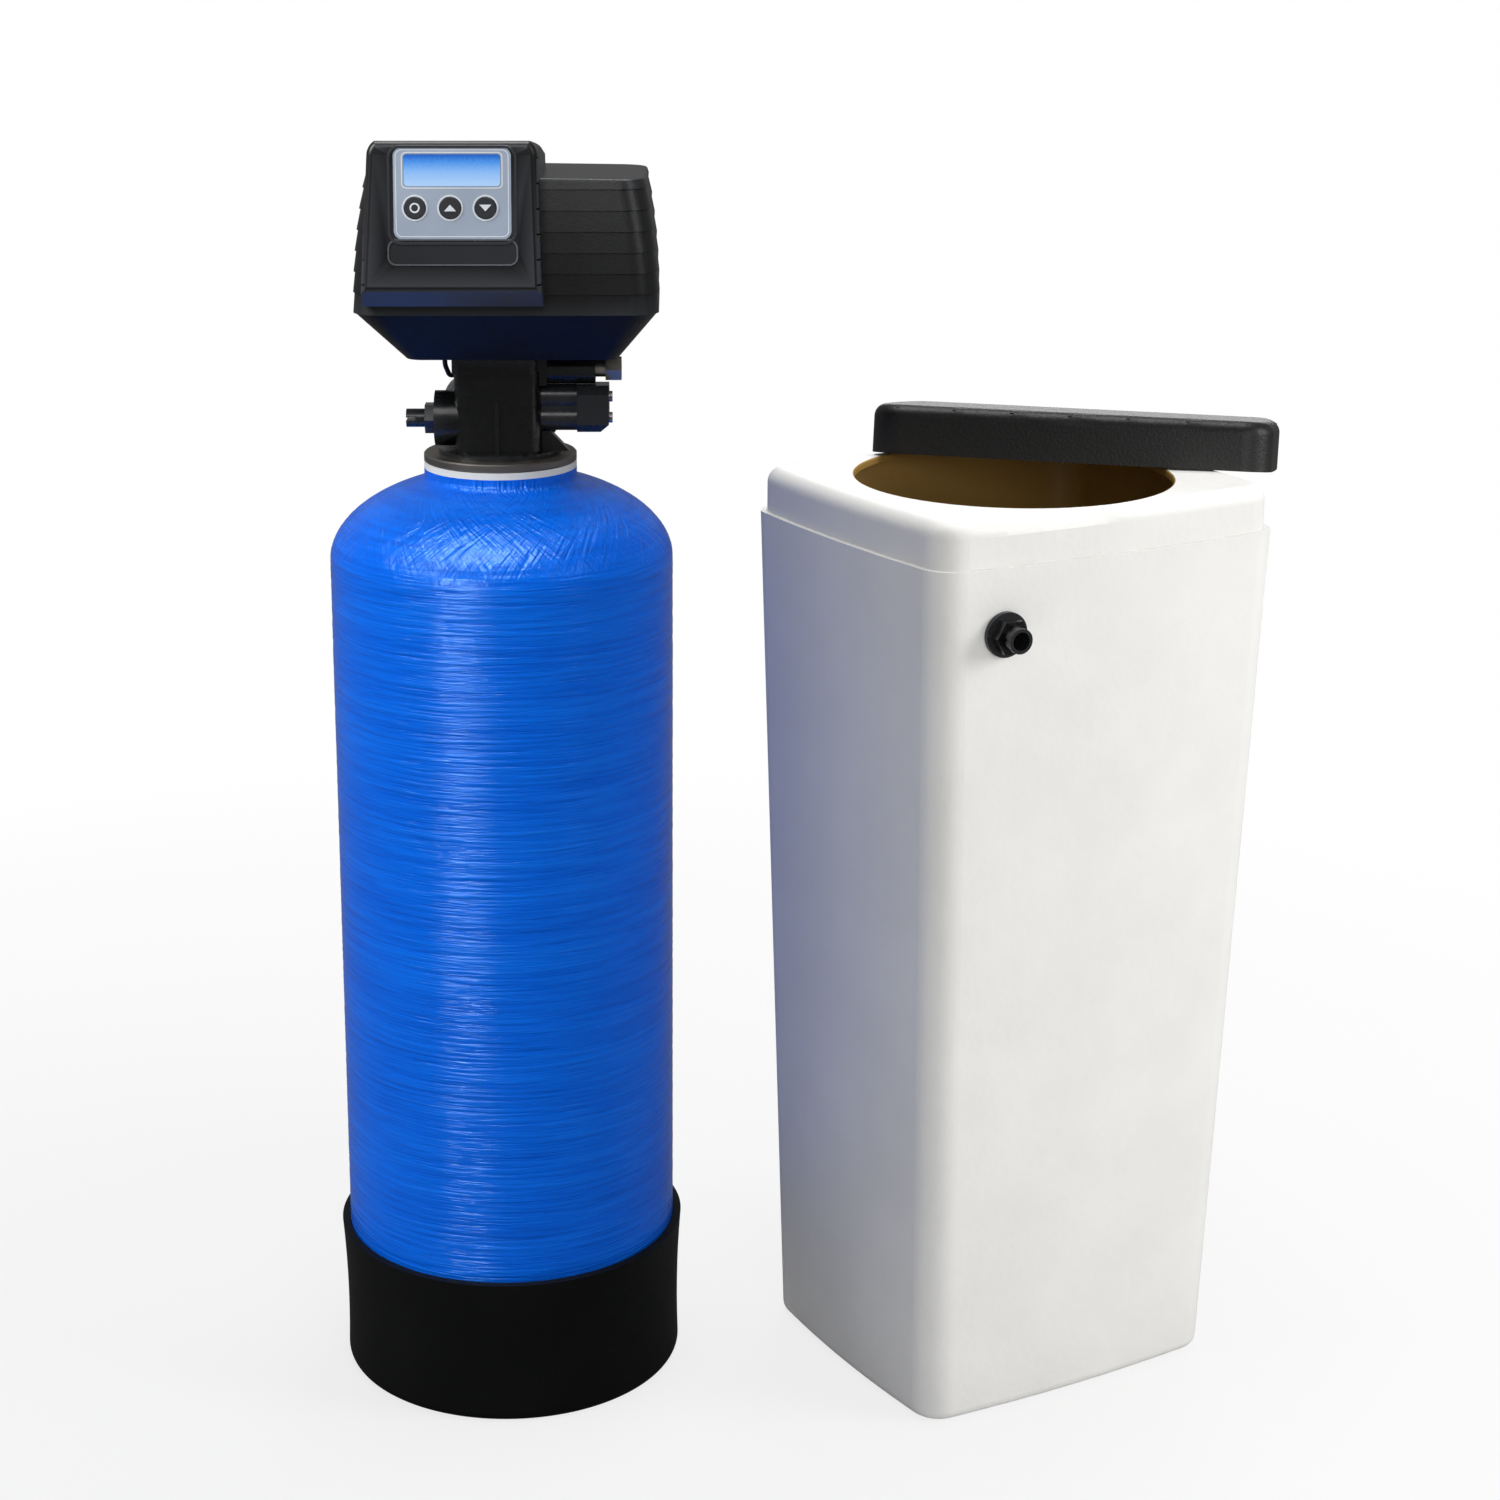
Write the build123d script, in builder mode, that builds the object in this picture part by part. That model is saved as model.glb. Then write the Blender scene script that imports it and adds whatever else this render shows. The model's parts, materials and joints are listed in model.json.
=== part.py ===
from build123d import *
import os
from math import acos, asin, atan2, cos, degrees, hypot, pi, radians, sin, sqrt, tan

# Water softener: a fibre-wound pressure vessel in a boot, with an electronic control valve on its neck,
# and a brine tank with a loose lid that stands beside it. Millimetres, +Z up.
# The origin is on the floor, on the axis of the vessel. -Y is the front.

os.makedirs("parts", exist_ok=True)

# Fits that every piece shares
fit_gap = 0.3
running_gap = 0.1
touch_gap = 0.15
cut_over = 1.0

# Vessel: wound shell over a moulded liner
vessel_radius = 104.0
shell_wall = 3.0
liner_wall = 3.0
shoulder_height = 527.0
dome_rise = 54.0
base_rise = 50.0
neck_radius = 46.0
neck_inner_radius = 40.0
neck_bore = 32.0
neck_blend = 5.0
neck_rise = 56.0
liner_flange = 4.0
ring_thickness = 5.0
ring_chamfer = 0.8

# Boot under the vessel
boot_height = 94.0
boot_floor = 4.0
boot_wall = 3.2
boot_waist = 0.7
boot_flare = 1.6
boot_round = 6.0
boot_rib_radius = 64.0
boot_rib_width = 4.0

# Inside the vessel
riser_radius = 13.35
riser_wall = 2.2
basket_radius = 26.0
basket_height = 34.0
basket_wall = 2.5
basket_slot = 1.2
basket_slots = 20
top_basket_share = 0.7
resin_height = 400.0

# Valve body on the neck
spigot_depth = 30.0
spigot_wall = 4.5
body_width = 52.0
body_depth = 56.0
body_corner = 12.0
body_height = 51.0
body_rib_width = 2.4
body_rib_proud = 1.6
body_rib_height = 34.0
collar_radius = 37.0
collar_height = 3.0
top_flange_width = 50.0
top_flange_depth = 60.0
top_flange_height = 11.0
top_flange_corner = 4.0
top_flange_shift = -1.5
bore_radius = 15.0
bore_floor = 8.0

# Piston, its seals and its rod
piston_radius = 10.0
piston_length = 16.0
piston_waist = 7.0
piston_land = 4.0
piston_stroke = 25.0
seal_height = 3.0
seal_count = 5
end_plug_height = 10.0
spacer_wall_step = 1.5
rod_radius = 3.0

# Mixing adjuster on the left of the body
boss_radius = 16.5
boss_reach = 38.0
boss_drop = 29.5
boss_forward = 8.0
saddle_radius = 12.0
mixing_bore = 5.0
mixing_nut_flats = 17.0
mixing_nut_length = 6.0
stem_head_radius = 5.5
stem_head_length = 11.0
stem_shank_radius = 3.5
stem_shank_length = 22.0
stem_slot = 2.0

# Injector and brine valve on the right of the body
injector_forward = 12.0
injector_start = 25.0
injector_reach = 22.0
injector_radius = 7.6
injector_lower = 22.5
injector_upper = 35.2
injector_width = 24.0
cover_reach = 19.0
cover_corner = 5.0
injector_screw_head = 3.2
injector_screw_proud = 2.0
injector_screw_shank = 1.6
injector_screw_depth = 10.0
brine_block_radius = 9.0
brine_block_reach = 33.0
brine_block_height = 52.0
gusset_reach = 17.0
gusset_thickness = 8.0
gusset_height = 15.0
line_neck_radius = 5.0
line_neck_length = 6.0
line_bore = 3.2
tube_nut_flats = 13.0
tube_nut_length = 9.5
tube_nut_bore = 4.0

# Inlet, outlet and drain at the back
port_spread = 22.0
port_height = 20.0
port_radius = 14.0
port_bore = 9.5
port_start = 3.0
port_end = 60.0
port_socket_depth = 14.0
coupling_radius = 12.0
coupling_bore = 9.0
coupling_flange_radius = 16.5
coupling_flange = 4.0
coupling_end = 92.0
clip_width = 3.0
clip_wall = 2.2
drain_radius = 8.0
drain_bore = 5.0
drain_reach = 30.0
drain_height = 34.0
drain_back = 16.0

# Water meter in the outlet
turbine_radius = 8.3
turbine_length = 12.0
turbine_hub = 2.6
turbine_blade = 1.2
turbine_blades = 6
turbine_axle = 1.0
guide_thickness = 2.0
guide_hub = 2.6
guide_arm = 1.6
probe_radius = 6.0
probe_height = 14.0
probe_neck = 8.0
cable_radius = 1.5
cable_drop = 6.0
bend_share = 0.45
gland_x = -34.0
gland_y = 20.0
gland_radius = 5.0
gland_height = 7.0
gland_flats = 11.5
gland_nut_height = 5.0

# Control head: lower skirt, grooved cover
head_left = -80.0
head_right = 96.0
head_front = -72.0
head_back = 60.0
head_corner = 16.0
head_wall = 2.5
head_floor = 3.0
skirt_height = 30.0
skirt_left = -52.0
skirt_right = 72.0
skirt_front = -44.0
skirt_back = 46.0
skirt_corner = 10.0
band_count = 6
band_height = 11.8
band_step = 0.8
crown_height = 8.0
cover_lean = 8.0
cover_round = 2.0
cover_slope_right = 2.5
cover_slope_back = 2.5

# Front housing with the panel
bezel_left = -72.5
bezel_right = 30.5
bezel_top_left = -67.0
bezel_top_right = 28.0
bezel_corner = 10.0
bezel_edge = 4.0
bezel_lift = 6.0
bezel_height = 94.0
bezel_chin_front = -92.0
bezel_brow_front = -84.0
bezel_chin_rise = 11.0
bezel_back = 12.0
bezel_back_drop = 16.0
bezel_wall = 3.0
bezel_notch = 1.0
bezel_notch_reach = 9.0
bezel_notch_pitch = 14.0
bezel_notches = 6

# Things on the panel, all placed from the lower edge of the flat face
overlay_width = 66.0
overlay_height = 51.0
overlay_rise = 28.5
overlay_corner = 5.0
overlay_recess = 1.0
overlay_thickness = 0.8
window_width = 54.0
window_height = 17.5
window_rise = 75.5
window_corner = 2.0
button_radius = 6.0
button_rise = 46.0
button_pitch = 19.8
button_proud = 0.9
button_flange = 7.2
button_flange_thickness = 1.0
button_travel = 0.8
button_count = 3
key_ring_width = 1.0
key_ring_proud = 0.3
switch_size = 6.0
plate_width = 74.0
plate_height = 15.0
plate_arch = 2.5
plate_rise = 13.5
plate_corner = 5.0
plate_thickness = 0.7
board_width = 82.0
board_height = 60.0
board_rise = 47.0
board_thickness = 1.6
board_depth = 8.0
board_boss_radius = 3.0
display_width = 60.0
display_height = 20.0

# Drive inside the head
gear_module = 1.5
tip_share = 0.7
root_share = 1.1
root_width_share = 0.5
tip_width_share = 0.24
drive_teeth = 36
pinion_teeth = 12
cam_teeth = 24
gear_width = 7.0
gear_front = 5.0
gear_axis_rise = 61.0
pinion_bearing = 160.0
cam_axis_x = 40.0
axle_radius = 3.0
crank_radius = piston_stroke / 2
crank_pin_radius = 2.5
crank_pin_length = 9.0
yoke_thickness = 6.0
yoke_border = 4.0
cam_base_radius = 12.0
cam_rise = 3.0
cam_thickness = 7.0
cam_dwell = 15.0
cam_step = 15.0
stem_radius = 2.5
frame_thickness = 3.0
frame_left = -46.0
frame_right = 64.0
frame_height = 94.0
frame_foot = 5.0
motor_radius = 21.0
motor_length = 20.0
motor_shaft = 2.5

# Screws that hold the head down
screw_head_radius = 3.5
screw_head_height = 2.6
screw_shank_radius = 1.8
screw_length = 9.0
screw_spread_x = 20.0
screw_spread_y = 24.0

# Brine tank, turned on the floor beside the vessel
tank_apart = 208.0
tank_y = 20.0
tank_turn = 29.0
tank_half_width = 128.0
tank_half_depth = 110.0
tank_crown = 5.0
tank_corner = 20.0
tank_taper_share = 0.88
tank_wall = 4.0
tank_base_round = 7.0
step_height = 546.0
step_inset = 3.0
shoulder_band = 27.0
shoulder_round = 9.0
mouth_radius = 97.0
mouth_round = 1.2

# Lid, left askew on the mouth
lid_height = 31.0
lid_recess = 16.0
lid_plate = 4.0
lid_rib = 2.4
lid_rib_pitch = 36.0
lid_wall = 4.0
lid_round = 8.0
lid_turn = -12.0
lid_tilt = 9.3
lid_roll = 0.73
lid_side = 30.0
lid_behind = 33.0
lid_lift = 2.45

# Brine well, grid, float and overflow
well_x = 45.0
well_y = 45.0
well_radius = 40.0
well_wall = 2.5
well_below = 73.0
well_slot = 3.0
well_slots = 10
well_slot_height = 40.0
cap_skirt = 10.0
cap_wall = 2.0
grid_height = 90.0
grid_thickness = 5.0
grid_inset = 6.0
grid_hole = 4.0
grid_pitch = 17.0
grid_leg_radius = 7.0
grid_leg_x = 84.0
grid_leg_y = 70.0
valve_radius = 13.0
valve_foot = 18.0
valve_height = 46.0
valve_slots = 6
float_rod_radius = 1.6
float_rod_length = 250.0
float_radius = 26.0
float_height = 58.0
float_rise = 180.0
grommet_radius = 5.0
grommet_height = 5.0
overflow_along = -80.0
overflow_below = 39.0
overflow_flange = 13.5
overflow_flange_thickness = 3.0
overflow_flats = 19.0
overflow_hex_length = 7.0
overflow_nose_radius = 7.5
overflow_nose_length = 8.0
overflow_bore = 5.5
overflow_thread = 9.0
overflow_thread_length = 16.0
overflow_nut_flats = 26.0
overflow_nut_length = 6.0


# Helpers for the shapes that come again
def axis_x_plane(y, z):
    """Plane whose upright runs along +X, for pieces turned about a line along X."""
    return Plane(origin=(0, y, z), x_dir=(0, 0, 1), z_dir=(0, 1, 0))


def axis_y_plane(x, z):
    """Plane whose upright runs along +Y, for pieces turned about a line along Y."""
    return Plane(origin=(x, 0, z), x_dir=(1, 0, 0), z_dir=(0, 0, 1))


def axis_z_plane(x, y):
    """Plane whose upright runs along +Z, for pieces turned about a line along Z."""
    return Plane(origin=(x, y, 0), x_dir=(1, 0, 0), z_dir=(0, -1, 0))


def turned(points, plane):
    """A piece turned about the upright of its plane, from corners as (radius, place along)."""
    with BuildPart() as piece:
        with BuildSketch(plane):
            with BuildLine():
                Polyline(*points, close=True)
            make_face()
        revolve(axis=Axis(plane.origin, plane.y_dir))
    return piece


def ring(outer, inner, low, high, plane):
    """A plain ring or tube between two places along the upright of its plane."""
    return turned([(inner, low), (outer, low), (outer, high), (inner, high)], plane)


def crowned(half_x, half_y, crown, corner):
    """Rectangle with bowed sides and round corners, as a face about its middle."""
    side_x = half_x - crown
    side_y = half_y - crown
    with BuildSketch() as outline:
        with BuildLine():
            ThreePointArc((-side_x, -side_y), (0, -half_y), (side_x, -side_y))
            ThreePointArc((side_x, -side_y), (half_x, 0), (side_x, side_y))
            ThreePointArc((side_x, side_y), (0, half_y), (-side_x, side_y))
            ThreePointArc((-side_x, side_y), (-half_x, 0), (-side_x, -side_y))
        make_face()
        fillet(outline.vertices(), corner)
    return outline.sketch


def gear_face(teeth, phase):
    """Outline of a spur gear with slim straight-sided teeth, the first at the angle phase."""
    pitch_radius = gear_module * teeth / 2
    pitch = pi * gear_module
    tip = pitch_radius + gear_module * tip_share
    root = pitch_radius - gear_module * root_share
    root_half = pitch * root_width_share / 2
    tip_half = pitch * tip_width_share / 2
    with BuildSketch() as tooth:
        with BuildLine():
            Polyline((root - gear_module, -root_half), (root, -root_half), (tip, -tip_half),
                     (tip, tip_half), (root, root_half), (root - gear_module, root_half), close=True)
        make_face()
    with BuildSketch() as outline:
        Circle(root)
        with PolarLocations(0, teeth, start_angle=phase):
            add(tooth.sketch)
    return outline.sketch


# Places that follow from the sizes
upright = axis_z_plane(0, 0)
shell_top = shoulder_height + neck_rise
boot_inner = vessel_radius + fit_gap
shell_base = boot_floor + fit_gap
liner_radius = vessel_radius - shell_wall - touch_gap
liner_rise = dome_rise - shell_wall - touch_gap
liner_drop = base_rise - shell_wall - touch_gap
inside_radius = liner_radius - liner_wall
inside_drop = liner_drop - liner_wall
ring_top = shell_top + liner_flange + ring_thickness
body_top = ring_top + body_height
flange_top = body_top + top_flange_height
boss_height = flange_top - top_flange_height - boss_drop
seam_z = flange_top + skirt_height
gear_axis_height = flange_top + gear_axis_rise
frame_top = flange_top + frame_height
bezel_bottom = seam_z + bezel_lift
bezel_top = bezel_bottom + bezel_height
tank_x = vessel_radius + tank_apart
rim_height = step_height + shoulder_band
well_height = rim_height - well_below
overflow_height = step_height - overflow_below
face_front = -body_depth / 2
base_centre = shell_base + base_rise
basket_low = base_centre - inside_drop * sqrt(1 - (basket_radius / inside_radius) ** 2) + fit_gap


def vessel_profile(radius, rise, drop, neck, top):
    """Wall line of the vessel from its lowest point on the axis up to the top of its neck."""
    turn = degrees(acos(neck / radius))
    low = EllipticalCenterArc((0, base_centre), radius, drop, -90, arc_size=90)
    side = Line(low @ 1, (radius, shoulder_height))
    high = EllipticalCenterArc((0, shoulder_height), radius, rise, 0, arc_size=turn)
    return low, side, high, Line(high @ 1, (neck, top))


with BuildPart() as vessel_shell:
    with BuildSketch(upright) as shell_section:
        with BuildLine():
            outer = vessel_profile(vessel_radius, dome_rise, base_rise, neck_radius, shell_top)
            inner = vessel_profile(vessel_radius - shell_wall, dome_rise - shell_wall,
                                   base_rise - shell_wall, neck_inner_radius, shell_top)
            Line(outer[3] @ 1, inner[3] @ 1)
            Line(outer[0] @ 0, inner[0] @ 0)
        make_face()
        fillet(shell_section.vertices().sort_by_distance(outer[2] @ 1)[0], neck_blend)
    revolve(axis=Axis.Z)

with BuildPart() as vessel_liner:
    with BuildSketch(upright):
        with BuildLine():
            outer = vessel_profile(liner_radius, liner_rise, liner_drop, neck_inner_radius - touch_gap,
                                   shell_top)
            inner = vessel_profile(inside_radius, liner_rise - liner_wall, inside_drop, neck_bore,
                                   shell_top + liner_flange)
            Polyline(outer[3] @ 1, (neck_radius, shell_top), (neck_radius, shell_top + liner_flange),
                     inner[3] @ 1)
            Line(outer[0] @ 0, inner[0] @ 0)
        make_face()
    revolve(axis=Axis.Z)

with BuildPart() as vessel_boot:
    boot_outer = boot_inner + boot_wall
    rib_outer = boot_rib_radius + boot_rib_width / 2
    rib_inner = boot_rib_radius - boot_rib_width / 2
    rib_top = base_centre - base_rise * sqrt(1 - (rib_inner / vessel_radius) ** 2) - fit_gap
    with BuildSketch(upright) as boot_section:
        with BuildLine():
            side = ThreePointArc((boot_outer, 0), (boot_outer - boot_waist, boot_height / 2),
                                 (boot_outer + boot_flare, boot_height))
            Polyline(side @ 1, (boot_inner, boot_height), (boot_inner, boot_floor), (rib_outer, boot_floor),
                     (rib_outer, rib_top), (rib_inner, rib_top), (rib_inner, boot_floor),
                     (0, boot_floor), (0, 0), side @ 0)
        make_face()
        fillet(boot_section.vertices().sort_by_distance(side @ 0)[0], boot_round)
    revolve(axis=Axis.Z)

# Inside the vessel
basket_top = basket_low + basket_height
riser_low = basket_low + basket_height / 2
bore_low = ring_top + bore_floor
riser_tube = ring(riser_radius, riser_radius - riser_wall, riser_low, bore_low, upright)

with BuildPart() as bottom_basket:
    bore = riser_radius + running_gap
    hollow = basket_radius - basket_wall
    with BuildSketch(upright):
        with BuildLine():
            Polyline((0, basket_low), (basket_radius, basket_low), (basket_radius, basket_top),
                     (bore, basket_top), (bore, basket_top - basket_wall),
                     (hollow, basket_top - basket_wall), (hollow, basket_low + basket_wall),
                     (0, basket_low + basket_wall), close=True)
        make_face()
    revolve(axis=Axis.Z)
    with BuildSketch(Plane.XY.offset(basket_low + 2 * basket_wall)):
        with PolarLocations(basket_radius, basket_slots):
            Rectangle(4 * basket_wall, basket_slot)
    extrude(amount=basket_height - 4 * basket_wall, mode=Mode.SUBTRACT)

spigot_low = ring_top - spigot_depth
spigot_radius = neck_bore - running_gap
with BuildPart() as top_basket:
    low = spigot_low - basket_height * top_basket_share
    bore = riser_radius + running_gap
    hollow = spigot_radius - 2 * basket_wall
    with BuildSketch(upright):
        with BuildLine():
            Polyline((bore, low), (hollow + basket_wall, low), (hollow + basket_wall, spigot_low),
                     (hollow, spigot_low), (hollow, low + basket_wall),
                      (bore, low + basket_wall), close=True)
        make_face()
    revolve(axis=Axis.Z)
    with BuildSketch(Plane.XY.offset(low + 2 * basket_wall)):
        with PolarLocations(hollow + basket_wall, basket_slots):
            Rectangle(4 * basket_wall, basket_slot)
    extrude(amount=spigot_low - low - 4 * basket_wall, mode=Mode.SUBTRACT)

with BuildPart() as resin_bed:
    hole = riser_radius + fit_gap
    basket_hole = basket_radius + fit_gap
    bed_radius = inside_radius - fit_gap
    bed_drop = inside_drop - fit_gap
    with BuildSketch(upright):
        with BuildLine():
            low = EllipticalCenterArc((0, base_centre), bed_radius, bed_drop, -90, arc_size=90)
            Polyline(low @ 1, (bed_radius, resin_height), (0, resin_height), low @ 0)
        make_face()
    revolve(axis=Axis.Z)
    with Locations((0, 0, basket_top / 2)):
        Cylinder(basket_hole, basket_top + 2 * fit_gap, mode=Mode.SUBTRACT)
    with Locations((0, 0, resin_height / 2)):
        Cylinder(hole, resin_height + cut_over, mode=Mode.SUBTRACT)

with BuildPart() as neck_ring:
    low = shell_top + liner_flange
    with BuildSketch(upright):
        with BuildLine():
            Polyline((neck_bore + fit_gap, low), (neck_radius, low), (neck_radius, ring_top),
                     (neck_bore + fit_gap, ring_top), close=True)
        make_face()
    revolve(axis=Axis.Z)
    chamfer(neck_ring.edges().filter_by(GeomType.CIRCLE).sort_by(SortBy.RADIUS)[-2:], ring_chamfer)

# Valve body: spigot, pillar, top flange, side boss, injector foot and the ports at the back
port_z = ring_top + port_height
brine_z = ring_top + brine_block_height
injector_y = -injector_forward
upper_z = ring_top + injector_upper
lower_z = ring_top + injector_lower
drain_z = ring_top + drain_height
with BuildPart() as valve_body:
    with Locations((0, 0, ring_top - spigot_depth / 2)):
        Cylinder(spigot_radius, spigot_depth)
    with Locations((0, 0, ring_top + collar_height / 2)):
        Cylinder(collar_radius, collar_height)
    with BuildSketch(Plane.XY.offset(ring_top)):
        RectangleRounded(body_width, body_depth, body_corner)
    extrude(amount=body_height)
    with BuildSketch(Plane.XY.offset(body_top)):
        with Locations((top_flange_shift, 0)):
            RectangleRounded(top_flange_width, top_flange_depth, top_flange_corner)
    extrude(amount=top_flange_height)
    # rib down the front
    with BuildSketch(Plane.XZ.offset(-face_front)):
        with Locations((0, ring_top + body_rib_height / 2)):
            Rectangle(body_rib_width, body_rib_height)
    extrude(amount=body_rib_proud)
    # boss of the mixing adjuster, with its saddle on the body
    with Locations(((-boss_reach) / 2, -boss_forward, boss_height)):
        Cylinder(boss_radius, boss_reach, rotation=(0, 90, 0))
    with Locations((-body_width / 2, -boss_forward, boss_height)):
        Sphere(saddle_radius)
    # brine valve housing and the gusset under the injector
    with Locations((brine_block_reach / 2 + injector_start, injector_y, brine_z)):
        Cylinder(brine_block_radius, brine_block_reach, rotation=(0, 90, 0))
    with Locations((injector_start, injector_y, brine_z)):
        Box(brine_block_radius, 2 * brine_block_radius, 2 * brine_block_radius)
    with Locations((cam_axis_x, 0, (brine_z + flange_top) / 2)):
        Cylinder(brine_block_radius, flange_top - brine_z)
    with BuildSketch(Plane.XZ.offset(-injector_y - gusset_thickness / 2)):
        with BuildLine():
            Polyline((0, ring_top), (injector_start + gusset_reach, ring_top + collar_height),
                     (injector_start + gusset_reach / 3, ring_top + gusset_height),
                     (0, ring_top + gusset_height), close=True)
        make_face()
    extrude(amount=gusset_thickness)
    # ports at the back
    for side in (-1, 1):
        with Locations((side * port_spread, port_end / 2, port_z)):
            Cylinder(port_radius, port_end, rotation=(90, 0, 0))
    with Locations((injector_start + drain_reach / 2, drain_back, drain_z)):
        Cylinder(drain_radius, drain_reach, rotation=(0, 90, 0))
    # bore of the piston, the riser and the annulus round it
    with Locations((0, 0, (bore_low + flange_top + cut_over) / 2)):
        Cylinder(bore_radius, flange_top - bore_low + cut_over, mode=Mode.SUBTRACT)
    with Locations((0, 0, (spigot_low - cut_over + bore_low) / 2)):
        Cylinder(riser_radius + running_gap, bore_low - spigot_low + 2 * cut_over, mode=Mode.SUBTRACT)
    with Locations((0, 0, ring_top - (spigot_depth + cut_over) / 2)):
        Cylinder(spigot_radius - spigot_wall, spigot_depth + cut_over, mode=Mode.SUBTRACT)
    for side in (-1, 1):
        with Locations((side * port_spread, (port_end + port_start) / 2, port_z)):
            Cylinder(port_bore, port_end - port_start, rotation=(90, 0, 0), mode=Mode.SUBTRACT)
        with Locations((side * port_spread, port_end - port_socket_depth / 2 + cut_over / 2, port_z)):
            Cylinder(coupling_radius + running_gap, port_socket_depth + cut_over, rotation=(90, 0, 0),
                     mode=Mode.SUBTRACT)
    # bores of the mixing adjuster, the brine valve, its stem and the drain
    with Locations((-boss_reach + stem_shank_length / 2 - cut_over, -boss_forward, boss_height)):
        Cylinder(mixing_bore, stem_shank_length + cut_over, rotation=(0, 90, 0), mode=Mode.SUBTRACT)
    with Locations((injector_start + brine_block_reach / 2 + cut_over, injector_y, brine_z)):
        Cylinder(line_bore, brine_block_reach, rotation=(0, 90, 0), mode=Mode.SUBTRACT)
    with Locations((cam_axis_x, 0, flange_top)):
        Cylinder(stem_radius + running_gap, 2 * brine_block_radius, mode=Mode.SUBTRACT)
    with Locations((injector_start + drain_reach / 2 + cut_over, drain_back, drain_z)):
        Cylinder(drain_bore, drain_reach, rotation=(0, 90, 0), mode=Mode.SUBTRACT)
    # holes for the screws of the head
    for x in (-screw_spread_x, screw_spread_x):
        for y in (-screw_spread_y, screw_spread_y):
            with Locations((x + top_flange_shift, y, flange_top)):
                Cylinder(screw_shank_radius + running_gap, 2 * screw_length, mode=Mode.SUBTRACT)

# Seals and spacers stacked in the bore, closed by a plug that the rod runs through
bore_height = flange_top - end_plug_height - bore_low
spacer_height = (bore_height - seal_count * seal_height) / (seal_count - 1)
seal_pitch = seal_height + spacer_height
seal_inner = piston_radius + running_gap
stack_outer = bore_radius - running_gap
with BuildPart() as piston_seals:
    for number in range(seal_count):
        with Locations((0, 0, bore_low + number * seal_pitch + seal_height / 2)):
            Cylinder(stack_outer, seal_height)
            Cylinder(seal_inner, seal_height, mode=Mode.SUBTRACT)

with BuildPart() as seal_spacers:
    for number in range(seal_count - 1):
        with Locations((0, 0, bore_low + number * seal_pitch + seal_height + spacer_height / 2)):
            Cylinder(stack_outer, spacer_height)
            Cylinder(seal_inner + spacer_wall_step, spacer_height, mode=Mode.SUBTRACT)

plug_low = flange_top - end_plug_height
end_plug = ring(stack_outer, rod_radius + running_gap, plug_low, flange_top + head_floor, upright)

piston_low = bore_low + fit_gap
piston_top = piston_low + piston_length
piston = turned([(0, piston_low), (piston_radius, piston_low), (piston_radius, piston_low + piston_land),
                 (piston_waist, piston_low + piston_land), (piston_waist, piston_top - piston_land),
                 (piston_radius, piston_top - piston_land), (piston_radius, piston_top), (0, piston_top)],
                upright)

# Rod with the slotted yoke that the crank pin drives. The slot is taller than the pin by what
# the pin of a turning crank strays from an even lift.
steepest = asin(2 / pi)
pin_stray = crank_radius * (2 * steepest / pi - (1 - cos(steepest)))
slot_half_height = crank_pin_radius + pin_stray + fit_gap
slot_half_width = crank_radius + crank_pin_radius + fit_gap
yoke_z = gear_axis_height - crank_radius
with BuildPart() as piston_rod:
    rod_end = yoke_z - slot_half_height - yoke_border / 2
    with Locations((0, 0, (piston_top + rod_end) / 2)):
        Cylinder(rod_radius, rod_end - piston_top)
    with BuildSketch(Plane.XZ.offset(-yoke_thickness / 2)):
        with Locations((0, yoke_z)):
            RectangleRounded(2 * (slot_half_width + yoke_border), 2 * (slot_half_height + yoke_border),
                             yoke_border)
            RectangleRounded(2 * slot_half_width, 2 * slot_half_height, crank_pin_radius, mode=Mode.SUBTRACT)
    extrude(amount=yoke_thickness)

# Mixing adjuster: a slotted stem in a hex gland nut
boss_axis = axis_x_plane(-boss_forward, boss_height)
nut_face = -boss_reach - mixing_nut_length
with BuildPart() as mixing_nut:
    with BuildSketch(Plane.YZ.offset(nut_face)):
        with Locations((-boss_forward, boss_height)):
            RegularPolygon(mixing_nut_flats / 2, 6, major_radius=False)
            Circle(stem_shank_radius + running_gap, mode=Mode.SUBTRACT)
    extrude(amount=mixing_nut_length)

stem_face = nut_face - fit_gap
stem_end = stem_face - stem_head_length
with BuildPart() as mixing_stem:
    with BuildSketch(boss_axis):
        with BuildLine():
            Polyline((0, stem_end), (stem_head_radius, stem_end), (stem_head_radius, stem_face),
                     (stem_shank_radius, stem_face), (stem_shank_radius, stem_end + stem_shank_length),
                     (0, stem_end + stem_shank_length), close=True)
        make_face()
    revolve(axis=Axis(boss_axis.origin, boss_axis.y_dir))
    with Locations((stem_end, -boss_forward, boss_height)):
        Box(stem_head_length, 2 * stem_head_radius + cut_over, stem_slot, mode=Mode.SUBTRACT)

# Injector: a body of two barrels, a cover on its end, and the screws that hold both
with BuildPart() as injector_body:
    injector_mid = (upper_z + lower_z) / 2
    with Locations((injector_start + injector_reach / 2, injector_y, upper_z),
                   (injector_start + injector_reach / 2, injector_y, lower_z)):
        Cylinder(injector_radius, injector_reach, rotation=(0, 90, 0))
    with Locations((injector_start + injector_reach / 2, injector_y, injector_mid)):
        Box(injector_reach, injector_width / 2, upper_z - lower_z)
    with Locations((injector_start + fit_gap / 2, injector_y, injector_mid)):
        Box(fit_gap, injector_width / 2, upper_z - lower_z)
    add(valve_body.part, mode=Mode.SUBTRACT)
    for height in (upper_z, lower_z):
        with Locations((injector_start + injector_reach, injector_y, height)):
            Cylinder(injector_screw_shank, 2 * (injector_screw_depth + cut_over), rotation=(0, 90, 0),
                     mode=Mode.SUBTRACT)

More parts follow.
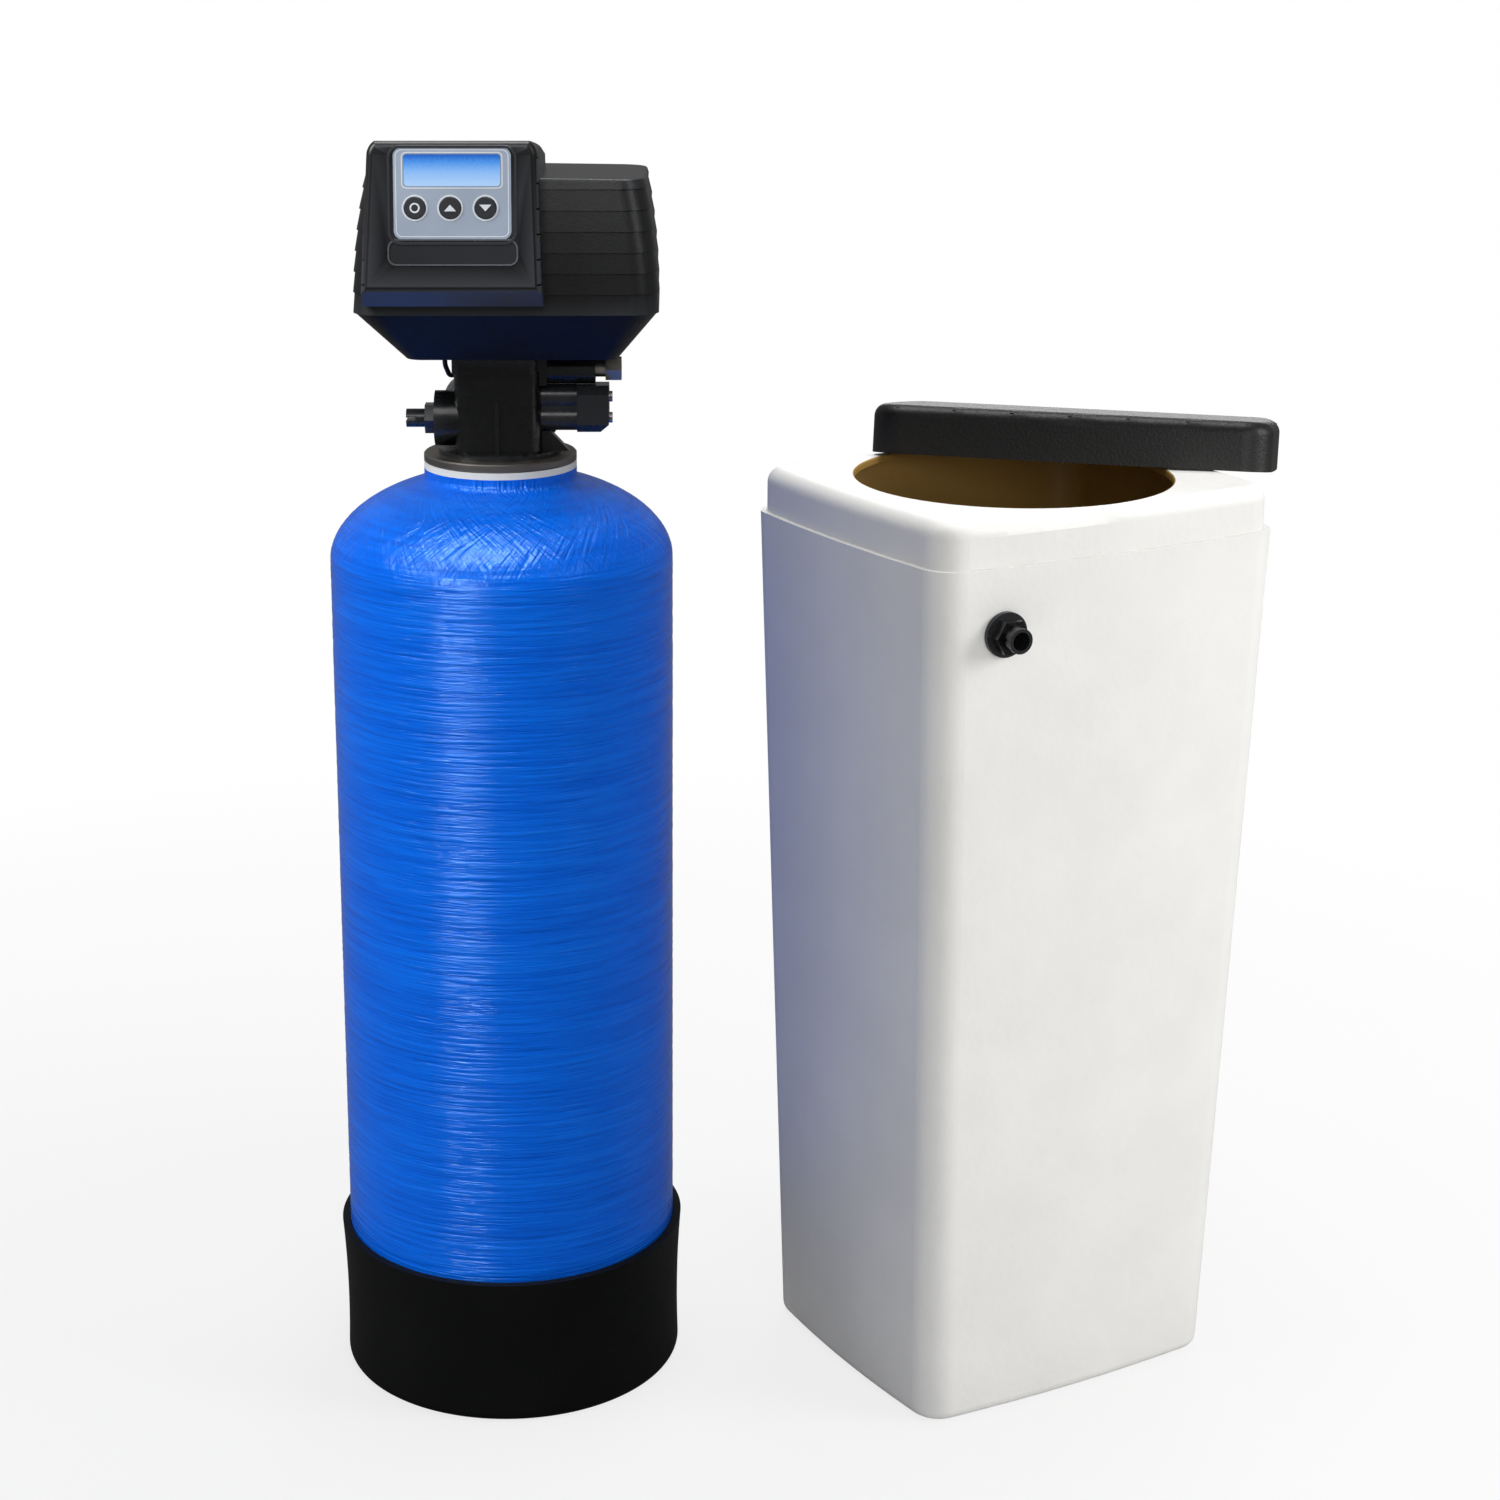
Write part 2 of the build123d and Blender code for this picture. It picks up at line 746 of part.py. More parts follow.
cover_low = injector_start + injector_reach
cover_high = cover_low + cover_reach
with BuildPart() as injector_cover:
    with BuildSketch(Plane.YZ.offset(cover_low)):
        with Locations((injector_y, injector_mid)):
            Rectangle(injector_width - 2 * cover_corner, upper_z - lower_z + 2 * injector_radius)
            Rectangle(injector_width, upper_z - lower_z + 2 * injector_radius - 2 * cover_corner)
        make_hull()
    extrude(amount=cover_reach)
    chamfer(injector_cover.faces().sort_by(Axis.X)[-1].edges().sort_by(Axis.Z)[0], cover_corner)
    for height in (upper_z, lower_z):
        with Locations((cover_low, injector_y, height)):
            Cylinder(injector_screw_shank, 2 * (cover_reach + cut_over), rotation=(0, 90, 0),
                     mode=Mode.SUBTRACT)

with BuildPart() as injector_screws:
    for height in (upper_z, lower_z):
        with Locations((cover_high + injector_screw_proud / 2, injector_y, height)):
            Cylinder(injector_screw_head, injector_screw_proud, rotation=(0, 90, 0))
            Box(injector_screw_proud, 2 * injector_screw_head, injector_screw_shank / 2, mode=Mode.SUBTRACT)
        shank = cover_reach + injector_screw_depth
        with Locations((cover_high - shank / 2, injector_y, height)):
            Cylinder(injector_screw_shank - running_gap, shank, rotation=(0, 90, 0))

# Brine valve stem under the cam, and the nickel fitting of the brine line
cam_bearing = -degrees(acos(cam_axis_x / (gear_module * (drive_teeth + cam_teeth) / 2)))
cam_axis_z = gear_axis_height + cam_axis_x * tan(radians(cam_bearing))
stem_top = cam_axis_z - cam_base_radius - fit_gap
stem_low = flange_top - brine_block_radius + cam_rise + fit_gap
brine_stem = turned([(0, stem_low), (stem_radius, stem_low), (stem_radius, stem_top), (0, stem_top)],
                    axis_z_plane(cam_axis_x, 0))

block_face = injector_start + brine_block_reach
neck_end = block_face + line_neck_length
line_axis = axis_x_plane(injector_y, brine_z)
line_fitting = ring(line_neck_radius, line_bore, block_face, neck_end, line_axis)
with BuildPart() as tube_nut:
    with BuildSketch(Plane.YZ.offset(neck_end)):
        with Locations((injector_y, brine_z)):
            RegularPolygon(tube_nut_flats / 2, 6, major_radius=False)
            Circle(tube_nut_bore, mode=Mode.SUBTRACT)
    extrude(amount=tube_nut_length)

# Couplings in the ports, and the clips that hold them
socket_low = port_end - port_socket_depth


def port_coupling(x):
    """Threaded pipe coupling that slips into a port."""
    return turned([(coupling_bore, socket_low), (coupling_radius, socket_low), (coupling_radius, port_end),
                   (coupling_flange_radius, port_end), (coupling_flange_radius, port_end + coupling_flange),
                   (coupling_radius + clip_wall / 2, port_end + coupling_flange),
                   (coupling_radius + clip_wall / 2, coupling_end), (coupling_bore, coupling_end)],
                  axis_y_plane(x, port_z))


outlet_coupling = port_coupling(-port_spread)
inlet_coupling = port_coupling(port_spread)
with BuildPart() as port_clips:
    for side in (-1, 1):
        with BuildSketch(Plane.XZ.offset(-(port_end - clip_width - cut_over))):
            with Locations((side * port_spread, port_z)):
                Circle(port_radius + clip_wall)
                Circle(port_radius + running_gap, mode=Mode.SUBTRACT)
                with Locations((0, -port_radius)):
                    Rectangle(port_radius, port_radius, mode=Mode.SUBTRACT)
        extrude(amount=-clip_width)

# Water meter: a turbine on an axle between two guides, and the probe over it
guide_reach = turbine_length / 2 + guide_thickness / 2 + fit_gap
meter_mid = socket_low - guide_reach - guide_thickness / 2
meter_axis = axis_y_plane(-port_spread, port_z)
with BuildPart() as turbine_guides:
    with Locations((-port_spread, meter_mid, port_z)):
        Cylinder(turbine_axle, 2 * guide_reach + guide_thickness, rotation=(90, 0, 0))
    for side in (-1, 1):
        with Locations((-port_spread, meter_mid + side * guide_reach, port_z)):
            Cylinder(guide_hub, guide_thickness, rotation=(90, 0, 0))
            Box(guide_arm, guide_thickness, 2 * (port_bore - touch_gap))
            Box(2 * (port_bore - touch_gap), guide_thickness, guide_arm)

with BuildPart() as meter_turbine:
    with BuildSketch(Plane.XZ.offset(-meter_mid - turbine_length / 2)):
        with Locations((-port_spread, port_z)):
            Circle(turbine_hub)
            with PolarLocations(turbine_radius / 2, turbine_blades):
                Rectangle(turbine_radius, turbine_blade)
            Circle(turbine_axle + running_gap, mode=Mode.SUBTRACT)
    extrude(amount=turbine_length)

probe_top = port_z + port_radius + probe_height
probe_low = port_z + port_radius - 1.5 * clip_wall
exit_way = Vector(-sqrt(0.5), -sqrt(0.5), 0)
probe_exit = Plane(origin=Vector(-port_spread, meter_mid, (port_z + port_radius + probe_top) / 2)
                   + exit_way * probe_neck, z_dir=exit_way)
with BuildPart() as meter_probe:
    with Locations((-port_spread, meter_mid, (probe_low + probe_top) / 2)):
        Cylinder(probe_radius, probe_top - probe_low)
    with BuildSketch(probe_exit):
        Circle(2 * cable_radius)
    extrude(amount=-probe_neck)
    add(valve_body.part, mode=Mode.SUBTRACT)

# Gland under the head, and the short cable that the head, its gland and the probe hold
gland_low = flange_top - gland_height
with BuildPart() as cable_gland:
    with Locations((gland_x, gland_y, flange_top - gland_nut_height / 2)):
        Cylinder(gland_radius, gland_nut_height)
    with BuildSketch(Plane.XY.offset(flange_top - gland_nut_height)):
        with Locations((gland_x, gland_y)):
            RegularPolygon(gland_flats / 2, 6, major_radius=False)
    extrude(amount=gland_nut_height - (gland_height - gland_nut_height))
    with Locations((gland_x, gland_y, (gland_low + flange_top) / 2)):
        Cylinder(gland_radius / 2, gland_height)

cable_end = probe_exit.origin
cable_approach = cable_end + exit_way * (4 * cable_radius)
cable_points = [(gland_x, gland_y, gland_low),
                (gland_x, gland_y, gland_low - cable_drop),
                tuple(cable_approach), tuple(cable_end)]


def bend_radii(points, grip):
    """The radius of each corner of a cable route, as large as its two runs allow."""
    radii = []
    for before, at, after in zip(points, points[1:], points[2:]):
        first = Vector(*at) - Vector(*before)
        second = Vector(*after) - Vector(*at)
        half_turn = radians(first.get_angle(second)) / 2
        radii.append(grip * min(first.length, second.length) / tan(half_turn))
    return radii


cable_radii = bend_radii(cable_points, bend_share)
print("meter cable radii", [round(radius, 1) for radius in cable_radii])
with BuildPart() as meter_cable:
    with BuildLine() as cable_path:
        FilletPolyline(*cable_points, radius=cable_radii)
    with BuildSketch(Plane(origin=cable_points[0], z_dir=cable_path.line % 0)):
        Circle(cable_radius)
    sweep(path=cable_path.line)
print("meter cable volume share", round(meter_cable.part.volume
                                        / (pi * cable_radius ** 2 * cable_path.wires()[0].length), 4))


# Head: a tapered lower skirt, and the grooved cover on it
def head_face(inset, left=head_left, right=head_right, front=head_front, back=head_back, corner=head_corner):
    """Plan of the head at one level, drawn in from its widest by the inset."""
    with BuildSketch() as plan:
        with Locations(((left + right) / 2, (front + back) / 2)):
            RectangleRounded(right - left - 2 * inset, back - front - 2 * inset, corner)
    return plan.sketch


with BuildPart() as base_skirt:
    with BuildSketch(Plane.XY.offset(flange_top)):
        add(head_face(0, skirt_left, skirt_right, skirt_front, skirt_back, skirt_corner))
    with BuildSketch(Plane.XY.offset(seam_z)):
        add(head_face(band_step))
    loft()
    with BuildSketch(Plane.XY.offset(flange_top + head_floor)):
        add(head_face(head_wall, skirt_left, skirt_right, skirt_front, skirt_back, skirt_corner))
    with BuildSketch(Plane.XY.offset(seam_z)):
        add(head_face(head_wall + band_step))
    loft(mode=Mode.SUBTRACT)
    with Locations((0, 0, flange_top + head_floor / 2)):
        Cylinder(stack_outer + running_gap, head_floor + 2 * cut_over, mode=Mode.SUBTRACT)
    with Locations((cam_axis_x, 0, flange_top + head_floor / 2)):
        Cylinder(stem_radius + running_gap, head_floor + 2 * cut_over, mode=Mode.SUBTRACT)
    for x in (-screw_spread_x, screw_spread_x):
        for y in (-screw_spread_y, screw_spread_y):
            with Locations((x + top_flange_shift, y, flange_top + head_floor / 2)):
                Cylinder(screw_shank_radius + running_gap, head_floor + 2 * cut_over, mode=Mode.SUBTRACT)

bands_top = seam_z + band_count * band_height
cover_top = bands_top + crown_height


def lean_at(height):
    """How far the cover is drawn in at a height, more and more towards its top."""
    share = (height - seam_z) / (cover_top - seam_z)
    return cover_lean * share ** 2


crown_left = Vector(head_left, head_front, cover_top)
slope_x = Vector(head_right - head_left, 0, -cover_slope_right)
slope_y = Vector(0, head_back - head_front, -cover_slope_back)
crown_plane = Plane(origin=crown_left, x_dir=slope_x, z_dir=slope_x.cross(slope_y))
with BuildPart() as cover_form:
    for number in range(band_count + 1):
        low = seam_z + number * band_height
        high = min(low + band_height, cover_top + cover_slope_back)
        with BuildSketch(Plane.XY.offset(low)):
            add(head_face(lean_at(low)))
        with BuildSketch(Plane.XY.offset(high)):
            add(head_face(lean_at(high) + band_step))
        loft()
    split(bisect_by=crown_plane, keep=Keep.BOTTOM)
    crown_edges = cover_form.faces().sort_by(Axis.Z)[-1].edges()
    fillet(crown_edges, cover_round)

ceiling = cover_top - cover_slope_right - cover_slope_back - head_wall
mid_level = (seam_z + ceiling) / 2
hollow_step = head_wall + band_step
with BuildPart() as head_cover:
    add(cover_form.part)
    for low, high in ((seam_z, mid_level), (mid_level, ceiling)):
        with BuildSketch(Plane.XY.offset(low)):
            add(head_face(lean_at(low) + hollow_step))
        with BuildSketch(Plane.XY.offset(high)):
            add(head_face(lean_at(high) + hollow_step))
        loft(mode=Mode.SUBTRACT)

# Front housing: a box on the cover's face whose brow runs back over the crown
bezel_middle = (bezel_top_left + bezel_top_right) / 2
lean = atan2(bezel_brow_front - bezel_chin_front, bezel_top - bezel_bottom - bezel_chin_rise)
face_origin = Vector(bezel_middle, bezel_chin_front, bezel_bottom + bezel_chin_rise)
face_plane = Plane(origin=face_origin, x_dir=(1, 0, 0), z_dir=(0, -cos(lean), sin(lean)))


def bezel_side(inset, back):
    """Side outline of the housing in (y, z), drawn in by the inset."""
    with BuildSketch() as outline:
        with BuildLine():
            Polyline((head_front + head_corner, bezel_bottom + inset),
                     (head_front - bezel_chin_rise / 2, bezel_bottom + inset),
                     (bezel_chin_front + inset, bezel_bottom + bezel_chin_rise + inset / 2),
                     (bezel_brow_front + inset, bezel_top - inset),
                     (back, bezel_top - bezel_back_drop - inset),
                     (back, cover_top - cover_slope_right - cover_slope_back - inset),
                     (head_front + head_corner, cover_top - cover_slope_right - cover_slope_back - inset),
                     close=True)
        make_face()
    return outline.sketch


def bezel_front(inset):
    """Front outline of the housing in (x, z), a little wider at its foot."""
    with BuildSketch() as outline:
        with BuildLine():
            Polyline((bezel_left + inset, bezel_bottom - cut_over),
                     (bezel_right - inset, bezel_bottom - cut_over),
                     (bezel_top_right - inset, bezel_top + cut_over - inset),
                     (bezel_top_left + inset, bezel_top + cut_over - inset), close=True)
        make_face()
        fillet(outline.vertices().group_by(Axis.Y)[-1], bezel_corner - inset)
    return outline.sketch


def bezel_block(inset, back):
    """The housing's outer or inner form: the side outline across, cut by the front outline."""
    with BuildPart() as block:
        with BuildSketch(Plane.YZ):
            add(bezel_side(inset, back))
        extrude(amount=head_right - head_left, both=True)
        with BuildSketch(Plane.XZ):
            add(bezel_front(inset))
        extrude(amount=head_back - head_front, both=True, mode=Mode.INTERSECT)
    return block.part


def on_face(across, up, depth):
    """Plane at a depth behind the panel face, at a place across and up that face, facing the front."""
    return Plane(origin=face_origin + face_plane.x_dir * across + face_plane.y_dir * up
                 - face_plane.z_dir * depth, x_dir=face_plane.x_dir, z_dir=face_plane.z_dir)


def pad_outline(width, height, corner):
    """Rounded rectangle about its middle."""
    with BuildSketch() as outline:
        RectangleRounded(width, height, corner)
    return outline.sketch


def plate_outline(grow):
    """Outline of the bare plate, with an arched top, grown by a margin."""
    half = plate_width / 2 + grow
    low = -plate_height / 2 - grow
    high = plate_height / 2 + grow
    with BuildSketch() as outline:
        with BuildLine():
            Polyline((-half, high - plate_arch), (-half, low), (half, low), (half, high - plate_arch))
            ThreePointArc((half, high - plate_arch), (0, high), (-half, high - plate_arch))
        make_face()
        fillet(outline.vertices(), plate_corner)
    return outline.sketch


overlay_mid = overlay_rise + overlay_height / 2
window_mid = window_rise - window_height / 2
first_button = -window_width / 2 + button_radius
board_corners_x = board_width / 2 - board_boss_radius
board_corners_y = board_height / 2 - board_boss_radius
wall_back = bezel_wall
with BuildPart() as front_bezel:
    add(bezel_block(0, bezel_back))
    front_edges = front_bezel.faces().sort_by(Axis.Y)[0].edges()
    fillet(front_edges, bezel_edge)
    add(bezel_block(bezel_wall, bezel_back - bezel_wall), mode=Mode.SUBTRACT)
    # bosses that carry the board
    for side_x in (-board_corners_x, board_corners_x):
        for side_y in (-board_corners_y, board_corners_y):
            with BuildSketch(on_face(side_x, board_rise + side_y, board_depth)):
                Circle(board_boss_radius)
            extrude(amount=board_depth - wall_back + cut_over)
    # recesses for the panel and the bare plate, and holes for the window and the keys
    with BuildSketch(on_face(0, overlay_mid, overlay_recess)):
        add(pad_outline(overlay_width + 2 * touch_gap, overlay_height + 2 * touch_gap, overlay_corner))
    extrude(amount=overlay_recess + cut_over, mode=Mode.SUBTRACT)
    with BuildSketch(on_face(0, plate_rise + plate_height / 2, overlay_recess)):
        add(plate_outline(touch_gap))
    extrude(amount=overlay_recess + cut_over, mode=Mode.SUBTRACT)
    with BuildSketch(on_face(0, window_mid, wall_back + cut_over)):
        add(pad_outline(window_width + 2 * touch_gap, window_height + 2 * touch_gap, window_corner))
    extrude(amount=wall_back + 2 * cut_over, mode=Mode.SUBTRACT)
    for number in range(button_count):
        with BuildSketch(on_face(first_button + number * button_pitch, button_rise, wall_back + cut_over)):
            Circle(button_radius + fit_gap)
        extrude(amount=wall_back + 2 * cut_over, mode=Mode.SUBTRACT)
    # short notches down both sides
    for number in range(bezel_notches):
        for edge in (bezel_left, bezel_right):
            with Locations((edge, bezel_brow_front, bezel_bottom + (number + 1) * bezel_notch_pitch)):
                Box(2 * bezel_wall, 2 * bezel_notch_reach, bezel_notch, mode=Mode.SUBTRACT)
    add(cover_form.part, mode=Mode.SUBTRACT)

with BuildPart() as overlay_panel:
    with BuildSketch(on_face(0, overlay_mid, overlay_recess)):
        add(pad_outline(overlay_width, overlay_height, overlay_corner))
        with Locations((0, window_mid - overlay_mid)):
            add(pad_outline(window_width + 2 * touch_gap, window_height + 2 * touch_gap, window_corner),
                mode=Mode.SUBTRACT)
        keys = [(first_button + number * button_pitch, button_rise - overlay_mid)
                for number in range(button_count)]
        with Locations(keys):
            Circle(button_radius + fit_gap, mode=Mode.SUBTRACT)
    extrude(amount=overlay_thickness)

with BuildPart() as display_lens:
    with BuildSketch(on_face(0, window_mid, wall_back)):
        add(pad_outline(window_width, window_height, window_corner))
    extrude(amount=wall_back - overlay_recess + overlay_thickness)

with BuildPart() as display_module:
    with BuildSketch(on_face(0, window_mid, board_depth)):
        Rectangle(display_width, display_height)
    extrude(amount=board_depth - wall_back - fit_gap)

with BuildPart() as front_plate:
    with BuildSketch(on_face(0, plate_rise + plate_height / 2, overlay_recess)):
        add(plate_outline(0))
    extrude(amount=plate_thickness)


def panel_button(number):
    """A round key with a flange behind the wall, so that it can't fall out."""
    across = first_button + number * button_pitch
    with BuildPart() as button:
        with BuildSketch(on_face(across, button_rise, wall_back + fit_gap)):
            Circle(button_radius)
        extrude(amount=wall_back + fit_gap + button_proud)
        chamfer(button.faces().sort_by(Axis.Y)[0].edges(), button_proud / 3)
        with BuildSketch(on_face(across, button_rise, wall_back + fit_gap + button_flange_thickness)):
            Circle(button_flange)
        extrude(amount=button_flange_thickness)
    return button


button_cycle = panel_button(0)
button_up = panel_button(1)
button_down = panel_button(2)

with BuildPart() as button_rings:
    for number in range(button_count):
        across = first_button + number * button_pitch
        with BuildSketch(on_face(across, button_rise, overlay_recess - overlay_thickness)):
            Circle(button_radius + fit_gap + key_ring_width)
            Circle(button_radius + fit_gap, mode=Mode.SUBTRACT)
        extrude(amount=key_ring_proud)

key_back = wall_back + fit_gap + button_flange_thickness + button_travel + fit_gap / 2
with BuildPart() as key_switches:
    for number in range(button_count):
        across = first_button + number * button_pitch
        with BuildSketch(on_face(across, button_rise, board_depth)):
            Rectangle(switch_size, switch_size)
        extrude(amount=(board_depth - key_back) / 2)
        with BuildSketch(on_face(across, button_rise, board_depth)):
            Circle(switch_size / 4)
        extrude(amount=board_depth - key_back)

with BuildPart() as circuit_board:
    with BuildSketch(on_face(0, board_rise, board_depth + board_thickness)):
        Rectangle(board_width, board_height)
    extrude(amount=board_thickness)

# Drive: a frame plate that carries the motor and two axles, three gears, and the snail cam
gear_back = gear_front + gear_width
frame_front = gear_back + fit_gap
frame_floor = flange_top + head_floor
gear_centre = (0, gear_axis_height)
pinion_reach = gear_module * (drive_teeth + pinion_teeth) / 2
pinion_x = pinion_reach * cos(radians(pinion_bearing))
pinion_z = gear_axis_height + pinion_reach * sin(radians(pinion_bearing))
drive_pitch = 360 / drive_teeth
drive_phase = pinion_bearing
pinion_phase = pinion_bearing + 180 + 180 / pinion_teeth
cam_bearing_offset = (cam_bearing - drive_phase) % drive_pitch
cam_phase = cam_bearing + 180 + cam_bearing_offset * drive_teeth / cam_teeth + 180 / cam_teeth
with BuildPart() as gear_frame:
    with BuildSketch(Plane.XZ.offset(-frame_front)):
        with Locations(((frame_left + frame_right) / 2, (frame_floor + frame_top) / 2)):
            RectangleRounded(frame_right - frame_left, frame_top - frame_floor, frame_foot)
            Rectangle(frame_right - frame_left, (frame_top - frame_floor) / 2)
        with Locations((pinion_x, pinion_z)):
            Circle(2 * motor_shaft, mode=Mode.SUBTRACT)
    extrude(amount=-frame_thickness)
    with Locations(((frame_left + frame_right) / 2, frame_front + frame_thickness + frame_foot / 2,
                    frame_floor + frame_thickness / 2)):
        Box(frame_right - frame_left, frame_foot, frame_thickness)
    for x, z in (gear_centre, (cam_axis_x, cam_axis_z)):
        with Locations((x, (gear_front + frame_front) / 2 + running_gap, z)):
            Cylinder(axle_radius, frame_front - gear_front, rotation=(90, 0, 0))

motor_face = frame_front + frame_thickness
with BuildPart() as drive_motor:
    with Locations((pinion_x, motor_face + motor_length / 2, pinion_z)):
        Cylinder(motor_radius, motor_length, rotation=(90, 0, 0))
        Cylinder(motor_shaft + running_gap, motor_length + cut_over, rotation=(90, 0, 0), mode=Mode.SUBTRACT)

with BuildPart() as motor_pinion:
    with BuildSketch(Plane.XZ.offset(-gear_back)):
        with Locations((pinion_x, pinion_z)):
            add(gear_face(pinion_teeth, pinion_phase))
    extrude(amount=gear_width)
    with Locations((pinion_x, gear_back + motor_length / 2, pinion_z)):
        Cylinder(motor_shaft, motor_length, rotation=(90, 0, 0))

with BuildPart() as drive_gear:
    with BuildSketch(Plane.XZ.offset(-gear_back)):
        with Locations(gear_centre):
            add(gear_face(drive_teeth, drive_phase))
            Circle(axle_radius + running_gap, mode=Mode.SUBTRACT)
    extrude(amount=gear_width)
    with Locations((0, gear_front - crank_pin_length / 2, gear_axis_height - crank_radius)):
        Cylinder(crank_pin_radius, crank_pin_length, rotation=(90, 0, 0))


def cam_point(angle):
    """Edge of the snail cam: an even rise over the turn that the drive makes, then a quick return."""
    swing = 180 * drive_teeth / cam_teeth
    past = (angle + 90) % 360
    if past <= swing + cam_dwell:
        reach = cam_base_radius + cam_rise * past / swing
    else:
        back = (past - swing - cam_dwell) / (360 - swing - cam_dwell)
        reach = cam_base_radius + cam_rise * (1 + cam_dwell / swing) * (1 - back)
    return reach * cos(radians(angle)), reach * sin(radians(angle))


with BuildPart() as brine_cam:
    with BuildSketch(Plane.XZ.offset(-gear_back)):
        with Locations((cam_axis_x, cam_axis_z)):
            add(gear_face(cam_teeth, cam_phase))
    extrude(amount=gear_width)
    with BuildSketch(Plane.XZ.offset(-gear_front)) as cam_section:
        with BuildLine():
            rising = [cam_point(-90 + step * cam_step)
                      for step in range(int((270 + cam_dwell) / cam_step) + 1)]
            rise = Spline(*[(x + cam_axis_x, z + cam_axis_z) for x, z in rising])
            Line(rise @ 1, rise @ 0)
        make_face()
    extrude(amount=gear_front + cam_thickness / 2)
    with Locations((cam_axis_x, (gear_front + gear_back) / 2, cam_axis_z)):
        Cylinder(axle_radius + running_gap, gear_width, rotation=(90, 0, 0), mode=Mode.SUBTRACT)

with BuildPart() as flange_screws:
    for x in (-screw_spread_x, screw_spread_x):
        for y in (-screw_spread_y, screw_spread_y):
            with Locations((x + top_flange_shift, y, frame_floor + screw_head_height / 2)):
                Cylinder(screw_head_radius, screw_head_height)
            with Locations((x + top_flange_shift, y, frame_floor - (head_floor + screw_length) / 2)):
                Cylinder(screw_shank_radius, head_floor + screw_length)

# Brine tank: tapered shell, shoulder step, round mouth
turn = radians(tank_turn)
tank_plane = Plane(origin=(tank_x, tank_y, 0), x_dir=(cos(turn), sin(turn), 0), z_dir=(0, 0, 1))


def tank_face(inset, share=1.0):
    """Plan of the tank, drawn in by the inset, at a share of its full size."""
    return crowned(tank_half_width * share - inset, tank_half_depth * share - inset, tank_crown, tank_corner)


with BuildPart() as brine_body:
    with BuildSketch(tank_plane):
        add(tank_face(0, tank_taper_share))
    with BuildSketch(tank_plane.offset(step_height)):
        add(tank_face(0))
    loft()
    with BuildSketch(tank_plane.offset(step_height)):
        add(tank_face(step_inset))
    extrude(amount=rim_height - step_height)
    fillet(brine_body.edges().group_by(Axis.Z)[-1], shoulder_round)
    fillet(brine_body.edges().group_by(Axis.Z)[0], tank_base_round)
    with BuildSketch(tank_plane.offset(tank_wall)):
        add(tank_face(tank_wall, tank_taper_share))
    with BuildSketch(tank_plane.offset(step_height)):
        add(tank_face(tank_wall + step_inset))
    loft(mode=Mode.SUBTRACT)
    with BuildSketch(tank_plane.offset(step_height)):
        add(tank_face(tank_wall + step_inset))
    extrude(amount=rim_height - step_height - tank_wall, mode=Mode.SUBTRACT)
    with BuildSketch(tank_plane.offset(rim_height - 2 * tank_wall)):
        Circle(mouth_radius)
    extrude(amount=3 * tank_wall, mode=Mode.SUBTRACT)
    mouth_edge = brine_body.edges().filter_by(GeomType.CIRCLE).filter_by(
        lambda edge: abs(edge.radius - mouth_radius) < touch_gap).group_by(Axis.Z)[-1]
    fillet(mouth_edge, mouth_round)

# The wall leans, so the overflow sits square to the wall at its own height
face_share = tank_taper_share + (1 - tank_taper_share) * overflow_height / step_height
face_half = tank_half_depth * face_share
wall_there = tank_wall + step_inset * overflow_height / step_height
wall_lean = atan2(tank_half_depth * (1 - tank_taper_share), step_height)
bow_half = tank_half_width * face_share - tank_crown
face_bow = tank_crown * (1 - (overflow_along / bow_half) ** 2)
bow_turn = 2 * tank_crown * overflow_along / bow_half ** 2
out_way = (tank_plane.x_dir * bow_turn - tank_plane.y_dir) * cos(wall_lean) - Vector(0, 0, sin(wall_lean))
overflow_at = (tank_plane.origin + tank_plane.x_dir * overflow_along
               - tank_plane.y_dir * (face_half - tank_crown + face_bow) + Vector(0, 0, overflow_height)
               + out_way * touch_gap)
overflow_plane = Plane(origin=overflow_at, x_dir=Vector(0, 0, 1).cross(out_way), z_dir=out_way)
with BuildPart() as overflow_cutter:
    with BuildSketch(overflow_plane.offset(-3 * tank_wall)):
        Circle(overflow_thread + running_gap)
    extrude(amount=6 * tank_wall)
with BuildPart() as brine_tank:
    add(brine_body.part)
    add(overflow_cutter.part, mode=Mode.SUBTRACT)

with BuildPart() as overflow_fitting:
    with BuildSketch(overflow_plane):
        Circle(overflow_flange)
    extrude(amount=overflow_flange_thickness)
    with BuildSketch(overflow_plane.offset(overflow_flange_thickness)):
        RegularPolygon(overflow_flats / 2, 6, major_radius=False)
    extrude(amount=overflow_hex_length)
    with BuildSketch(overflow_plane.offset(overflow_flange_thickness + overflow_hex_length)):
        Circle(overflow_nose_radius)
    extrude(amount=overflow_nose_length)
    with BuildSketch(overflow_plane):
        Circle(overflow_thread)
    extrude(amount=-overflow_thread_length)
    bore_length = (overflow_thread_length + overflow_flange_thickness + overflow_hex_length
                   + overflow_nose_length + 2 * cut_over)
    with BuildSketch(overflow_plane.offset(-overflow_thread_length - cut_over)):
        Circle(overflow_bore)
    extrude(amount=bore_length, mode=Mode.SUBTRACT)

with BuildPart() as overflow_nut:
    with BuildSketch(overflow_plane.offset(-wall_there - 3 * fit_gap)):
        RegularPolygon(overflow_nut_flats / 2, 6, major_radius=False)
        Circle(overflow_thread + running_gap, mode=Mode.SUBTRACT)
    extrude(amount=-overflow_nut_length)

